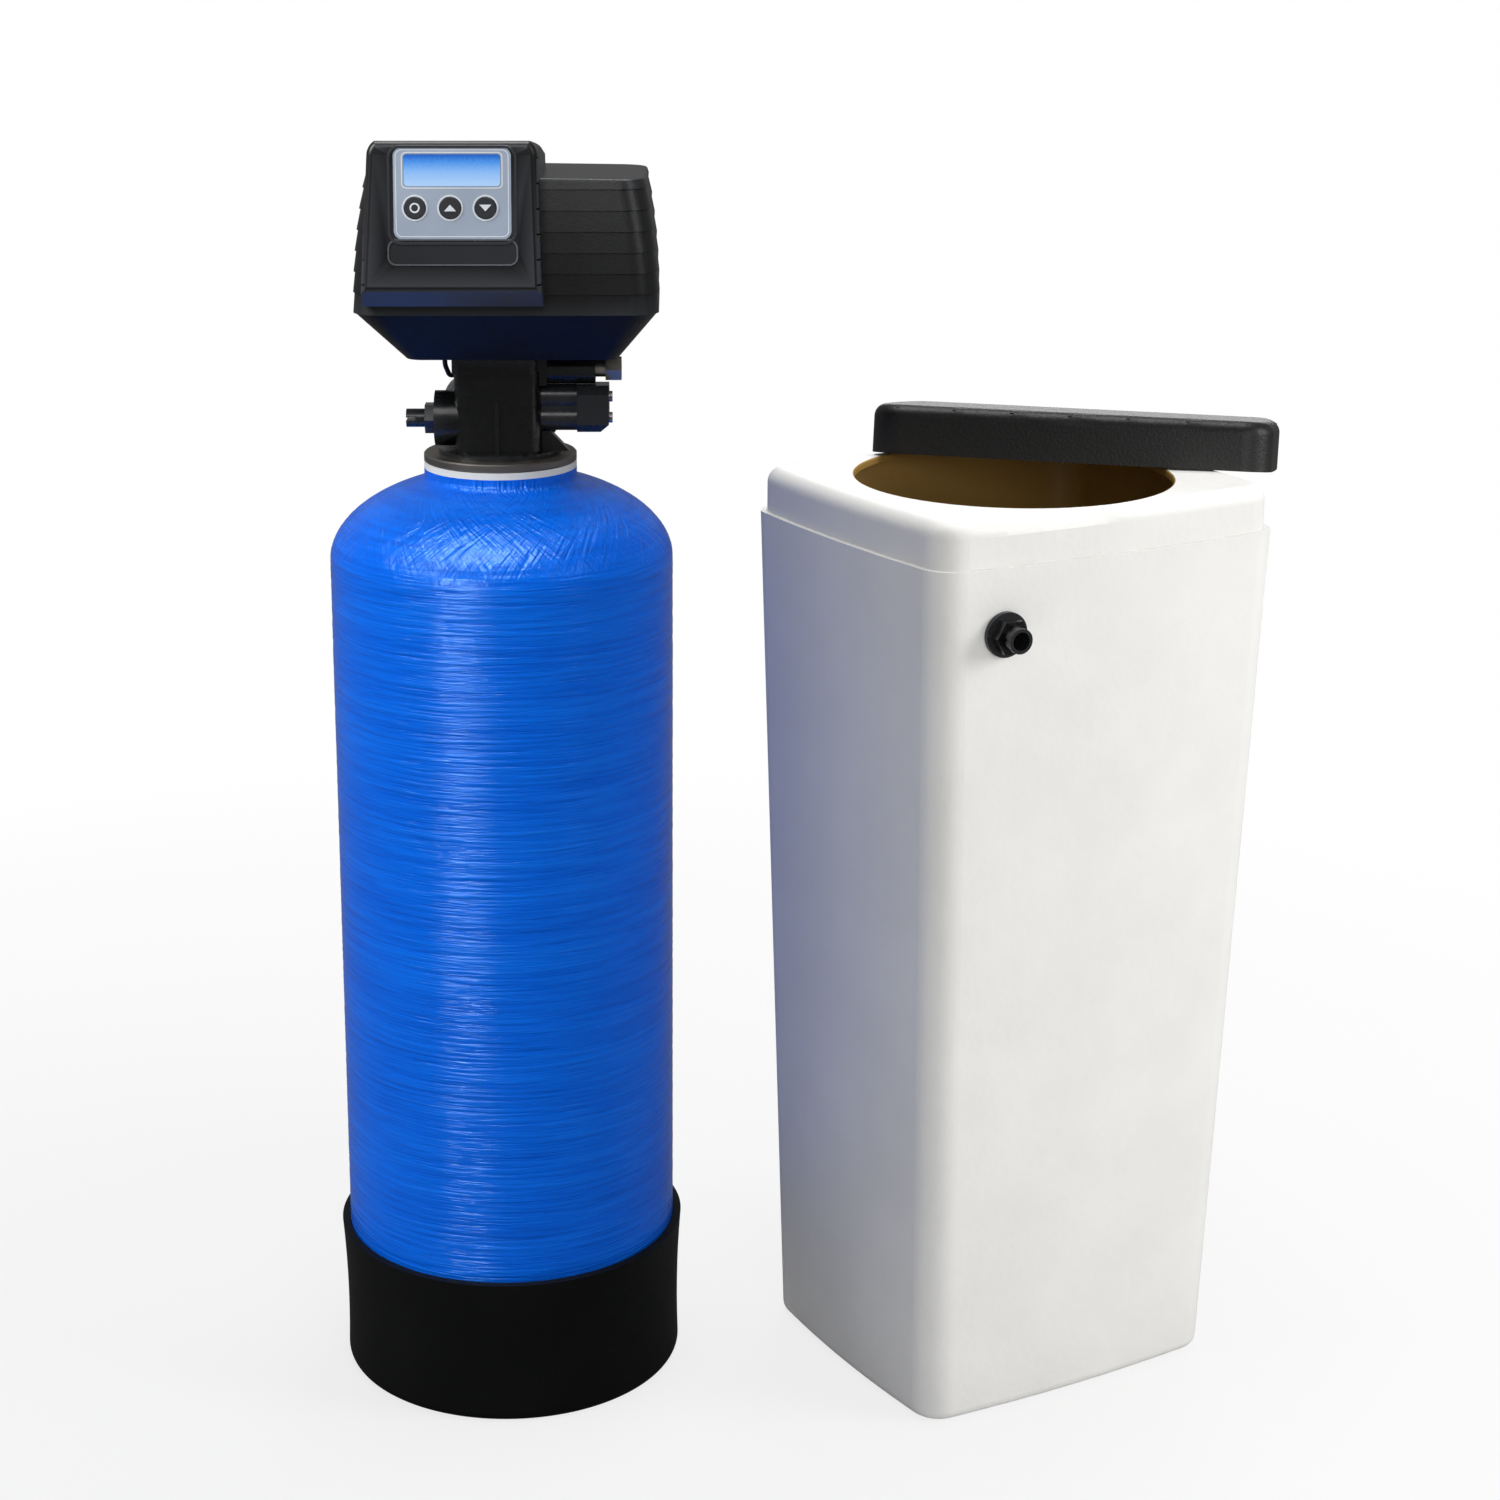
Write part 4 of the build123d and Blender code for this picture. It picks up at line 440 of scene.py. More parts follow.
@dataclass
class Palette:
    """All finishes of the object, each made once.

    Each is what the real surface is: moulded glass-filled nylon on the valve, spark-eroded ABS on the
    head, polyethylene on the tank, nickel-plated brass on the nut. Painted shade inside the tank, a painted
    highlight on the plate's rim, and edges that are partly worn and partly painted highlight come on top.
    """

    finishes: dict[str, Finish] = field(
        default_factory=lambda: {
            "wound_resin": WoundResin(
                "WoundGlassResin", "blue_shell", "#025cd8", "#0469e6", ior=1.5, specular=0.28,
            ),
            "head_abs": Finish(
                "SparkErodedAbs", "black_plastic", "#0d0e10", "#131417", 0.36, Grain.FINE, 0.8, 0.16,
                edge="#303237", specular=0.4,
            ),
            "bezel_abs": Finish(
                "SatinAbs", "black_plastic", "#090a0b", "#0f1012", 0.32, Grain.FINE, 0.7, 0.03,
                edge="#3a3c41", specular=0.4,
            ),
            "skirt_abs": Finish(
                "GlossyAbs", "black_plastic", "#0c0a07", "#110f0c", 0.42, Grain.PEEL, 2.5, 0.15,
                specular=0.25,
            ),
            "boot_pe": Finish(
                "MattPolyethylene", "boot_rubber", "#040506", "#08090a", 0.6, Grain.FINE, 1.0, 0.25,
                specular=0.18,
            ),
            "nylon": Finish(
                "GlassFilledNylon", "body_plastic", "#070809", "#0d0e0f", 0.26, Grain.PEEL, 2.0, 0.07,
                edge="#232427",
            ),
            "ring_zinc": Finish(
                "DullZinc", "ring_metal", "#77736e", "#8c8780", 0.45, Grain.BRUSHED, 0.6, 0.2, 1.0,
            ),
            "nickel": Finish(
                "NickelPlate", "nickel", "#b9b3a8", "#cbc5ba", 0.42, Grain.SMOOTH, 1.5, 0.05, 1.0,
            ),
            "steel": Finish(
                "BrightSteel", "bright_steel", "#b4b5b8", "#c6c7ca", 0.45, Grain.BRUSHED, 0.5, 0.1, 1.0,
            ),
            "motor_steel": Finish(
                "DrawnSteel", "motor_steel", "#9a9b9e", "#adaeb1", 0.35, Grain.BRUSHED, 0.6, 0.1, 1.0,
            ),
            "liner_abs": Finish(
                "NaturalAbs", "liner", "#d8d9d4", "#e2e3df", 0.4, Grain.SMOOTH, 2.0, 0.1,
            ),
            "resin_beads": Finish(
                "ResinBeads", "resin", "#9a6a2a", "#b98238", 0.6, Grain.PEEL, 0.8, 0.8,
            ),
            "pale_pp": Finish(
                "NaturalPolypropylene", "pale_plastic", "#cfcfc8", "#dadad4", 0.45, Grain.SMOOTH, 2.0,
                0.1,
            ),
            "epdm": Finish("Epdm", "seal_rubber", "#17181a", "#202124", 0.6, Grain.PEEL, 1.0, 0.2),
            "panel_film": Finish(
                "SilverPrintFilm", "panel_film", "#8f9bac", "#9ba7b8", 0.34, Grain.FINE, 0.5, 0.06,
                coat=0.3,
            ),
            "display": Backlit(
                "BacklitDisplay", "display_glass", "#8cc4fb", "#3f8fe8", 0.16, ior=1.5,
            ),
            "key_pc": Finish(
                "SatinPolycarbonate", "key_plastic", "#26282c", "#2f3136", 0.34, Grain.SMOOTH, 1.0, 0.08,
            ),
            "plate_pc": Finish(
                "SatinPlate", "key_plastic", "#202225", "#282a2e", 0.22, Grain.SMOOTH, 0.8, 0.03,
            ),
            # painted highlight: the rim's pale grey stands for the light line along the plate's border
            "rim_painted_highlight": Finish(
                "PaintedHighlightAbs", "key_plastic", "#4a4d53", "#565a60", 0.25, Grain.SMOOTH, 1.0, 0.03,
            ),
            "print_ink": Finish(
                "SilverInk", "ring_print", "#c9ced6", "#d6dae0", 0.4, Grain.SMOOTH, 1.0, 0.05,
            ),
            "board": Finish(
                "SolderResist", "board", "#0e5a2c", "#136a35", 0.35, Grain.FINE, 1.0, 0.1, coat=0.3,
            ),
            "acetal": Finish(
                "Acetal", "gear_plastic", "#dcdad2", "#e5e3dc", 0.35, Grain.SMOOTH, 2.0, 0.08,
            ),
            "tank_pe": TankPolyethylene(
                "BlowMouldedPolyethylene", "white_plastic", "#e9e8e5", "#efeeeb", 0.52, Grain.PEEL, 2.4,
                0.22,
            ),
            "inside_pe": Finish(
                "InnerPolyethylene", "white_plastic", "#d8d5cf", "#e0ddd6", 0.55, Grain.PEEL, 2.4, 0.22,
            ),
            "lid_pp": Finish(
                "GrainedPolypropylene", "black_plastic", "#060605", "#0a0a09", 0.45, Grain.FINE, 1.1,
                0.35, edge="#1c1b1a", specular=0.35,
            ),
        }
    )
    made: dict[str, Material] = field(default_factory=dict)

    def get(self, key: str) -> Material:
        """Return a finish's material, made at its first use."""
        if key not in self.made:
            self.made[key] = self.finishes[key].build()
        return self.made[key]

    def slot(self, key: str) -> str:
        """Return the record's slot of a finish."""
        return self.finishes[key].slot


# ---------------------------------------------------------------- surfaces worked out on grids


def to_metres(points: np.ndarray) -> np.ndarray:
    """Turn millimetres into metres."""
    return points * MM


def grid_faces(rows: int, columns: int, close_rows: bool, close_columns: bool) -> np.ndarray:
    """Quads of a grid, written as index arithmetic on whole arrays.

    Args:
        rows: number of rows.
        columns: number of columns.
        close_rows: whether the last row joins the first.
        close_columns: whether the last column joins the first.

    Returns:
        An array of four vertex numbers per quad.
    """
    r = np.arange(rows if close_rows else rows - 1)
    c = np.arange(columns if close_columns else columns - 1)
    rr, cc = np.meshgrid(r, c, indexing="ij")
    up, right = (rr + 1) % rows, (cc + 1) % columns
    here, above = rr * columns, up * columns
    return np.stack([here + cc, here + right, above + right, above + cc], -1).reshape(-1, 4)


def make_piece(
    name: str,
    points: np.ndarray,
    faces: Sequence,
    material: Material,
    slot: str,
    body: str = "root",
    replaces: Sequence[str] = (),
    smooth: bool = True,
) -> bpy.types.Object:
    """Put a surface into a mesh object that rides on a body.

    Args:
        name: the piece's name.
        points: vertices in millimetres.
        faces: vertex numbers per face.
        material: its finish.
        slot: the record's slot; not used.
        body: the CAD body that carries it.
        replaces: CAD nodes that it stands for.
        smooth: whether faces are smooth, up to a crease of 35 degrees.

    Returns:
        The new object.
    """
    mesh = bpy.data.meshes.new(name)
    mesh.from_pydata(to_metres(np.asarray(points, float)).tolist(), [], [list(map(int, f)) for f in faces])
    mesh.validate()
    mesh.update()
    mesh.materials.append(material)
    if smooth:
        mesh.shade_smooth()
        mesh.set_sharp_from_angle(angle=math.radians(CREASE_DEG))
    piece = bpy.data.objects.new(name, mesh)
    bpy.context.scene.collection.objects.link(piece)
    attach(piece, body)
    if replaces:
        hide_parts(*replaces)
    log.info("piece %s: %d faces, on %s", name, len(mesh.polygons), body)
    return piece


def turned_points(profile: np.ndarray, steps: int, relief: Optional[np.ndarray] = None) -> np.ndarray:
    """Surface of revolution: (r cos t, r sin t, z) for a profile (r, z) and a full turn of t.

    Args:
        profile: rows of (radius, height).
        steps: columns round the axis.
        relief: optional extra radius for every row and column.

    Returns:
        Points, row by row.
    """
    t = np.linspace(0, 2 * np.pi, steps, endpoint=False)
    r = np.repeat(profile[:, :1], steps, 1)
    if relief is not None:
        r = r + relief
    z = np.repeat(profile[:, 1:], steps, 1)
    return np.stack([r * np.cos(t), r * np.sin(t), z], -1).reshape(-1, 3)


def swept_ring(path: np.ndarray, section: np.ndarray, across: np.ndarray, up: np.ndarray) -> np.ndarray:
    """Carry a section round a closed path that lies in one plane.

    Formula: at each point of the path the section's first axis is the path's outward normal in the
    plane and its second axis is the plane's own normal.

    Args:
        path: closed path as (u, v) rows.
        section: closed section as (out, up) rows.
        across: 3 x 3 rows of u direction, v direction and origin.
        up: normal of the plane.

    Returns:
        Points as rows of the path by columns of the section.
    """
    ahead = np.roll(path, -1, 0) - np.roll(path, 1, 0)
    ahead /= np.linalg.norm(ahead, axis=1, keepdims=True)
    out = np.stack([ahead[:, 1], -ahead[:, 0]], -1)
    flat = path[:, None, :] + out[:, None, :] * section[None, :, :1]
    return across[2] + flat[..., :1] * across[0] + flat[..., 1:] * across[1] + section[None, :, 1:] * up


def rounded_path(width: float, height: float, corner: float, steps: int = 8) -> np.ndarray:
    """Closed rounded rectangle, anticlockwise: four quarter arcs about the corner centres.

    Args:
        width: full width.
        height: full height.
        corner: corner radius.
        steps: points per corner.

    Returns:
        Rows of (u, v).
    """
    t = np.linspace(0, np.pi / 2, steps)
    quarter = np.stack([np.cos(t), np.sin(t)], -1) * corner
    rows = []
    for k, (sx, sy) in enumerate([(1, 1), (-1, 1), (-1, -1), (1, -1)]):
        c, s = math.cos(k * math.pi / 2), math.sin(k * math.pi / 2)
        turned = quarter @ np.array([[c, s], [-s, c]])
        rows.append(turned + [sx * (width / 2 - corner), sy * (height / 2 - corner)])
    return np.concatenate(rows)


# ---------------------------------------------------------------- sub-assemblies


@dataclass
class Vessel:
    """Wound pressure vessel, dressed with a finer shell than the CAD one."""

    palette: Palette
    radius: float = 104.0
    shoulder: float = 527.0
    dome: float = 54.0
    base: float = 50.0
    base_centre: float = 54.3
    neck: float = 46.0
    neck_inner: float = 40.0
    top: float = 583.0
    blend: float = 5.0
    blend_share: float = 0.75
    hoop_relief: float = 0.12
    ridge_from: float = 60.0
    ridge_below_top: float = 6.0
    neck_depth: float = 20.0
    bottom_rows: int = 40
    side_rows: int = 190
    dome_rows: int = 60
    blend_rows: int = 9
    columns: int = 256
    seed: int = 7

    def profile(self) -> np.ndarray:
        """Wall line: lower ellipse, side, dome ellipse, blended into the neck.

        Formula: r = R cos a, z = centre + rise sin a on both ends, and a parabola through the corner where
        the dome meets the neck.

        Returns:
            Rows of (radius, height), from the bottom to the neck's top.
        """
        low = np.linspace(-np.pi / 2, 0, self.bottom_rows)
        bottom = np.stack([self.radius * np.cos(low), self.base_centre + self.base * np.sin(low)], -1)
        side_z = np.linspace(self.base_centre, self.shoulder, self.side_rows)[1:-1]
        side = np.stack([np.full_like(side_z, self.radius), side_z], -1)
        meet = math.acos(self.neck / self.radius)
        high = np.linspace(0, meet, self.dome_rows)
        dome = np.stack([self.radius * np.cos(high), self.shoulder + self.dome * np.sin(high)], -1)
        reach = self.blend_share * self.blend
        near = dome[np.hypot(dome[:, 0] - self.neck, dome[:, 1] - dome[-1, 1]) > reach]
        start, corner = near[-1], dome[-1]
        end = np.array([self.neck, corner[1] + reach])
        s = np.linspace(0, 1, self.blend_rows)[1:, None]
        bend = (1 - s) ** 2 * start + 2 * s * (1 - s) * corner + s**2 * end
        neck = np.array([[self.neck, self.top]])
        return np.concatenate([bottom, side, near, bend, neck])

    def build_shell(self) -> None:
        """Shell with the low ridges of its hoop windings, closed by its inner wall line."""
        # the first row lies on the axis, where one vertex closes the bottom
        outer = self.profile()[1:]
        rng = np.random.default_rng(self.seed)
        rows = len(outer)
        t = np.linspace(0, 2 * np.pi, self.columns, endpoint=False)
        # low ridges: each hoop has its own height, and drifts slowly round the turn
        heights = rng.normal(0, 1, rows)[:, None]
        drift = np.sin(t[None, :] * 2 + rng.uniform(0, 2 * np.pi, rows)[:, None])
        height = outer[:, 1]
        rising = np.clip((height - self.ridge_from) / 30, 0, 1)
        fade = rising * np.clip((self.top - self.ridge_below_top - height) / 10, 0, 1)
        relief = self.hoop_relief * fade[:, None] * (0.5 * heights + 0.35 * drift - 0.6)
        relief = np.minimum(relief, 0.0)
        relief[0] = 0.0
        inner = np.array([[self.neck_inner, self.top], [self.neck_inner, self.top - self.neck_depth]])
        profile = np.concatenate([outer, inner])
        full = np.concatenate([relief, np.zeros((2, self.columns))])
        points = turned_points(profile, self.columns, full)
        faces = grid_faces(len(profile), self.columns, False, True)
        # the inner wall is drawn down and closed flat, so the shell stays one closed skin
        low_row = (len(profile) - 1) * self.columns
        lid = [list(range(low_row, low_row + self.columns))]
        pole = len(points)
        points = np.concatenate([points, [[0, 0, self.base_centre - self.base]]])
        first = np.arange(self.columns)
        fan = np.stack([np.full(self.columns, pole), np.roll(first, -1), first], -1)
        make_piece(
            "wound_shell",
            points,
            [*faces.tolist(), *fan.tolist(), *lid],
            self.palette.get("wound_resin"),
            self.palette.slot("wound_resin"),
            replaces=["vessel_shell"],
        )

    def build(self) -> None:
        """Build every piece of the vessel."""
        self.build_shell()


@dataclass
class Panel:
    """Front housing's panel: border lines, key marks and the window's frame.

    The panel leans: its own axes are across (+X), up the face and out of the face.
    """

    palette: Palette
    middle: float = -19.5
    front: float = -92.0
    foot: float = 701.0
    run: float = 8.0
    rise: float = 83.0
    overlay: tuple[float, float, float] = (66.0, 51.0, 28.5)
    window: tuple[float, float, float] = (54.0, 17.5, 75.5)
    corner: float = 5.0
    plate: tuple[float, float, float] = (74.0, 15.0, 13.5)
    key_up: float = 46.0
    key_first: float = -21.0
    key_pitch: float = 19.8
    key_proud: float = 0.9
    bead_over: tuple[float, float] = (5.0, 2.6)
    bead_drop: float = 0.9
    bead_width: float = 1.6
    bead_sunk: float = 0.25
    bead_proud: float = 0.75
    border_inset: float = 3.0
    border_width: float = 0.5
    window_over: float = 2.2
    window_line: float = 0.6
    window_corner: float = 2.6
    rim_inset: float = 1.6
    rim_corner: float = 4.5
    rim_sunk: float = 0.35
    rim_proud: float = 0.7
    film_depth: float = 0.2
    ink: float = 0.12
    arch: float = 2.5
    mark_size: tuple[float, float] = (6.8, 3.7)
    mark_ring: float = 2.4

    def axes(self, out: float) -> tuple[np.ndarray, np.ndarray]:
        """Give the panel's axes and origin at a distance out of its face.

        Args:
            out: distance out of the face.

        Returns:
            Rows of across, up and origin, and the face's normal.
        """
        length = math.hypot(self.run, self.rise)
        up = np.array([0.0, self.run / length, self.rise / length])
        normal = np.array([0.0, -self.rise / length, self.run / length])
        origin = np.array([self.middle, self.front, self.foot]) + normal * out
        return np.stack([np.array([1.0, 0.0, 0.0]), up, origin]), normal

    def line(
        self,
        name: str,
        path: np.ndarray,
        width: float,
        out: float,
        finish: str,
        body: str = "root",
        thick: Optional[float] = None,
    ) -> None:
        """A printed or moulded line: a flat section with softened edges carried round a path.

        Args:
            name: the piece's name.
            path: closed path on the panel.
            width: the line's width.
            out: how far out of the face it starts.
            finish: the finish's key.
            body: the body that it rides on.
            thick: its height over the face, or None for that of the ink.
        """
        half, thick = width / 2, thick or self.ink
        crown, flank = half * 0.7, thick * 0.6
        right = np.array([[half, 0], [half, flank], [crown, thick]])
        section = np.concatenate([[[-half, 0]], right, right[:0:-1] * [-1, 1]])
        axes, normal = self.axes(out)
        points = swept_ring(path, section, axes, normal)
        rows, columns = points.shape[:2]
        faces = grid_faces(rows, columns, True, True)
        material, slot = self.palette.get(finish), self.palette.slot(finish)
        make_piece(name, points.reshape(-1, 3), faces[:, ::-1], material, slot, body)

    def build_lines(self) -> None:
        """Raised bead round the film, and the pale borders of the film and of the window."""
        width, height, low = self.overlay
        wider, taller = self.bead_over
        bead = rounded_path(width + wider, height + taller, self.corner + self.border_inset / 2)
        bead += [0, low + height / 2 - self.bead_drop]
        self.line("panel_bead", bead, self.bead_width, -self.bead_sunk, "bezel_abs", thick=self.bead_proud)
        inset = self.border_inset
        path = rounded_path(width - inset, height - inset, self.corner - inset / 2)
        path += [0, low + height / 2]
        self.line("film_border", path, self.border_width, -self.film_depth, "print_ink")
        width, height, high = self.window
        path = rounded_path(width + self.window_over, height + self.window_over, self.window_corner)
        path += [0, high - height / 2]
        self.line("window_border", path, self.window_line, -self.film_depth, "print_ink")

    def build_rim(self) -> None:
        """Raised rim round the bare plate: a rounded rectangle whose top edge is arched.

        Formula: above the middle, v grows by arch x (1 - (u / half width) squared).
        """
        width, height, low = self.plate
        path = rounded_path(width - self.rim_inset, height - self.rim_inset, self.rim_corner, 10)
        above = np.clip(path[:, 1] / (height / 2), 0, 1)
        path[:, 1] += above * self.arch * (1 - (2 * path[:, 0] / width) ** 2)
        path += [0, low + height / 2]
        # the rim's pale grey is a painted highlight along the plate's border
        self.line("plate_rim", path, 1.0, -self.rim_sunk, "rim_painted_highlight", thick=self.rim_proud)

    def mark(self, name: str, outline: np.ndarray, body: str) -> None:
        """A raised mark on a key: a fan over its outline, with walls down into the key.

        Args:
            name: the piece's name.
            outline: anticlockwise outline on the panel.
            body: the key's body.
        """
        axes, normal = self.axes(self.key_proud - 0.05)
        flat = axes[2] + outline[:, :1] * axes[0] + outline[:, 1:] * axes[1]
        count = len(flat)
        points = np.concatenate([flat, flat + normal * 0.25])
        base = np.arange(count)
        walls = np.stack([base, np.roll(base, -1), np.roll(base, -1) + count, base + count], -1)
        faces = [*walls.tolist(), list(range(count, 2 * count)), list(range(count - 1, -1, -1))]
        ink, slot = self.palette.get("print_ink"), self.palette.slot("print_ink")
        make_piece(name, points, faces, ink, slot, body, smooth=False)

    def build_marks(self) -> None:
        """Plain triangles on two keys and a ring on the third."""
        wide, tall = self.mark_size
        triangle = np.array([[-wide / 2, -tall / 2], [wide / 2, -tall / 2], [0, tall / 2]])
        for number, (name, way) in enumerate([("up", 1), ("down", -1)], start=1):
            centre = [self.key_first + number * self.key_pitch, self.key_up]
            outline = triangle * [1, way] + centre
            self.mark(f"mark_{name}", outline if way > 0 else outline[::-1], f"button_{name}")
        t = np.linspace(0, 2 * np.pi, 40, endpoint=False)
        circle = np.stack([np.cos(t), np.sin(t)], -1) * self.mark_ring + [self.key_first, self.key_up]
        self.line("mark_cycle", circle, 0.9, self.key_proud - 0.02, "print_ink", "button_cycle")

    def build(self) -> None:
        """Build every piece of the panel."""
        self.build_lines()
        self.build_rim()
        self.build_marks()


@dataclass
class Couplings:
    """Threads on the pipe couplings behind the valve."""

    palette: Palette
    spread: float = 22.0
    height: float = 612.0
    radius: float = 13.1
    start: float = 68.0
    end: float = 91.0
    pitch: float = 2.3
    depth: float = 1.0

    def build_thread(self, name: str, x: float) -> None:
        """One thread: a V section whose place along the axis grows by a pitch each turn.

        Args:
            name: the piece's name.
            x: the coupling's place along X.
        """
        turns = (self.end - self.start) / self.pitch - 1
        t = np.linspace(0, 2 * np.pi * turns, int(turns * 40))
        fade = np.clip(np.minimum(t, t[-1] - t) / 1.5, 0.05, 1)
        section = np.array([[-0.1, -0.5], [1.0, -0.08], [1.0, 0.08], [-0.1, 0.5]])
        r = self.radius + section[None, :, 0] * self.depth * fade[:, None]
        advance = t[:, None] / (2 * np.pi) * self.pitch
        y = self.start + self.pitch / 2 + advance + section[None, :, 1] * self.pitch * 0.8
        points = np.stack([x + r * np.cos(t)[:, None], y, self.height + r * np.sin(t)[:, None]], -1)
        rows, columns = points.shape[:2]
        faces = grid_faces(rows, columns, False, True).tolist()
        faces.append(list(range(columns)))
        faces.append(list(range(rows * columns - 1, (rows - 1) * columns - 1, -1)))
        nylon, slot = self.palette.get("nylon"), self.palette.slot("nylon")
        make_piece(name, points.reshape(-1, 3), [f[::-1] for f in faces], nylon, slot)

    def build(self) -> None:
        """Build both threads."""
        self.build_thread("inlet_thread", self.spread)
        self.build_thread("outlet_thread", -self.spread)


@dataclass
class Dressing:
    """Finishes of the CAD nodes that stay as they are."""

    palette: Palette
    finish_of: dict[str, str] = field(
        default_factory=lambda: {
            "vessel_shell": "wound_resin",
            "vessel_liner": "liner_abs",
            "vessel_boot": "boot_pe",
            "resin_bed": "resin_beads",
            "riser_tube": "pale_pp",
            "bottom_basket": "nylon",
            "top_basket": "nylon",
            "neck_ring": "ring_zinc",
            "valve_body": "nylon",
            "piston_seals": "epdm",
            "seal_spacers": "pale_pp",
            "end_plug": "nylon",
            "piston": "acetal",
            "piston_rod": "steel",
            "mixing_nut": "nylon",
            "mixing_stem": "nylon",
            "injector_body": "nylon",
            "injector_cover": "nylon",
            "injector_screws": "steel",
            "brine_stem": "steel",
            "line_fitting": "nickel",
            "tube_nut": "nickel",
            "inlet_coupling": "nylon",
            "outlet_coupling": "nylon",
            "port_clips": "steel",
            "turbine_guides": "pale_pp",
            "meter_turbine": "acetal",
            "meter_probe": "nylon",
            "cable_gland": "nylon",
            "meter_cable": "epdm",
            "base_skirt": "skirt_abs",
            "head_cover": "head_abs",
            "front_bezel": "bezel_abs",
            "overlay_panel": "panel_film",
            "display_lens": "display",
            "display_module": "board",
            "front_plate": "plate_pc",
            "button_cycle": "key_pc",
            "button_up": "key_pc",
            "button_down": "key_pc",
            "button_rings": "print_ink",
            "key_switches": "key_pc",
            "circuit_board": "board",
            "gear_frame": "nylon",
            "drive_motor": "motor_steel",
            "motor_pinion": "acetal",
            "drive_gear": "acetal",
            "brine_cam": "acetal",
            "flange_screws": "steel",
            "brine_tank": "tank_pe",
            "brine_lid": "lid_pp",
            "brine_well": "inside_pe",
            "well_cap": "inside_pe",
            "salt_grid": "nylon",
            "safety_valve": "pale_pp",
            "brine_float": "pale_pp",
            "overflow_fitting": "nylon",
            "overflow_nut": "nylon",
        }
    )

    def build(self) -> None:
        """Give every node its finish."""
        for name, node in frame["nodes"].items():
            material = self.palette.get(self.finish_of[name])
            node.data.materials.clear()
            node.data.materials.append(material)
            self.palette.slot(self.finish_of[name])
        log.info("dressed %d nodes", len(frame["nodes"]))


@dataclass(frozen=True)
class Lamp:
    """An area lamp. Lengths are metres.

    Attributes:
        name: the lamp's name.
        place: where it stands.
        aim: what it looks at.
        size: width and height.
        power: watts.
        side: which objects it lights: vessel, tank, shell, or all.
        glint: whether it shows only as a highlight.
    """

    name: str
    place: tuple[float, float, float]
    aim: tuple[float, float, float]
    size: tuple[float, float]
    power: float
    side: str = "all"
    glint: bool = False


# the photograph joins two exposures: a two-pane window lights the vessel from its left, with glints on
# the shell alone, and a lamp at the right lights the tank
SHELL, HEAD, BOTH, TANK = (0, 0, 0.5), (0, 0, 0.7), (0.15, 0.0, 0.3), (0.3, 0, 0.3)
LAMPS = (
    Lamp("pane_left", (-1.3, -0.75, 1.7), SHELL, (0.76, 1.0), 30.0, "vessel"),
    Lamp("pane_right", (-0.1, -1.46, 1.86), SHELL, (0.76, 1.0), 8.0, "vessel"),
    Lamp("glint_left", (-0.5, -0.5, 2.0), SHELL, (0.42, 0.9), 40.0, "shell", True),
    Lamp("glint_right", (0.02, -0.78, 2.0), SHELL, (0.5, 0.9), 40.0, "shell", True),
    Lamp("glint_low", (-0.84, -1.8, 0.75), SHELL, (0.95, 0.6), 60.0, "shell", True),
    Lamp("side_right", (2.2, -0.52, 1.2), TANK, (0.8, 1.0), 24.0, "tank"),
    Lamp("front_fill", (0.9, -2.5, 1.2), BOTH, (1.2, 1.0), 17.0, "tank"),
    Lamp("back_fill", (0.7, 2.3, 1.2), TANK, (1.2, 1.0), 12.0, "tank"),
    Lamp("head_rim", (1.2, -0.9, 1.5), HEAD, (0.5, 0.8), 4.0, "vessel"),
    Lamp("ceiling", (0.2, 0.3, 2.4), BOTH, (1.4, 1.2), 31.0),
)


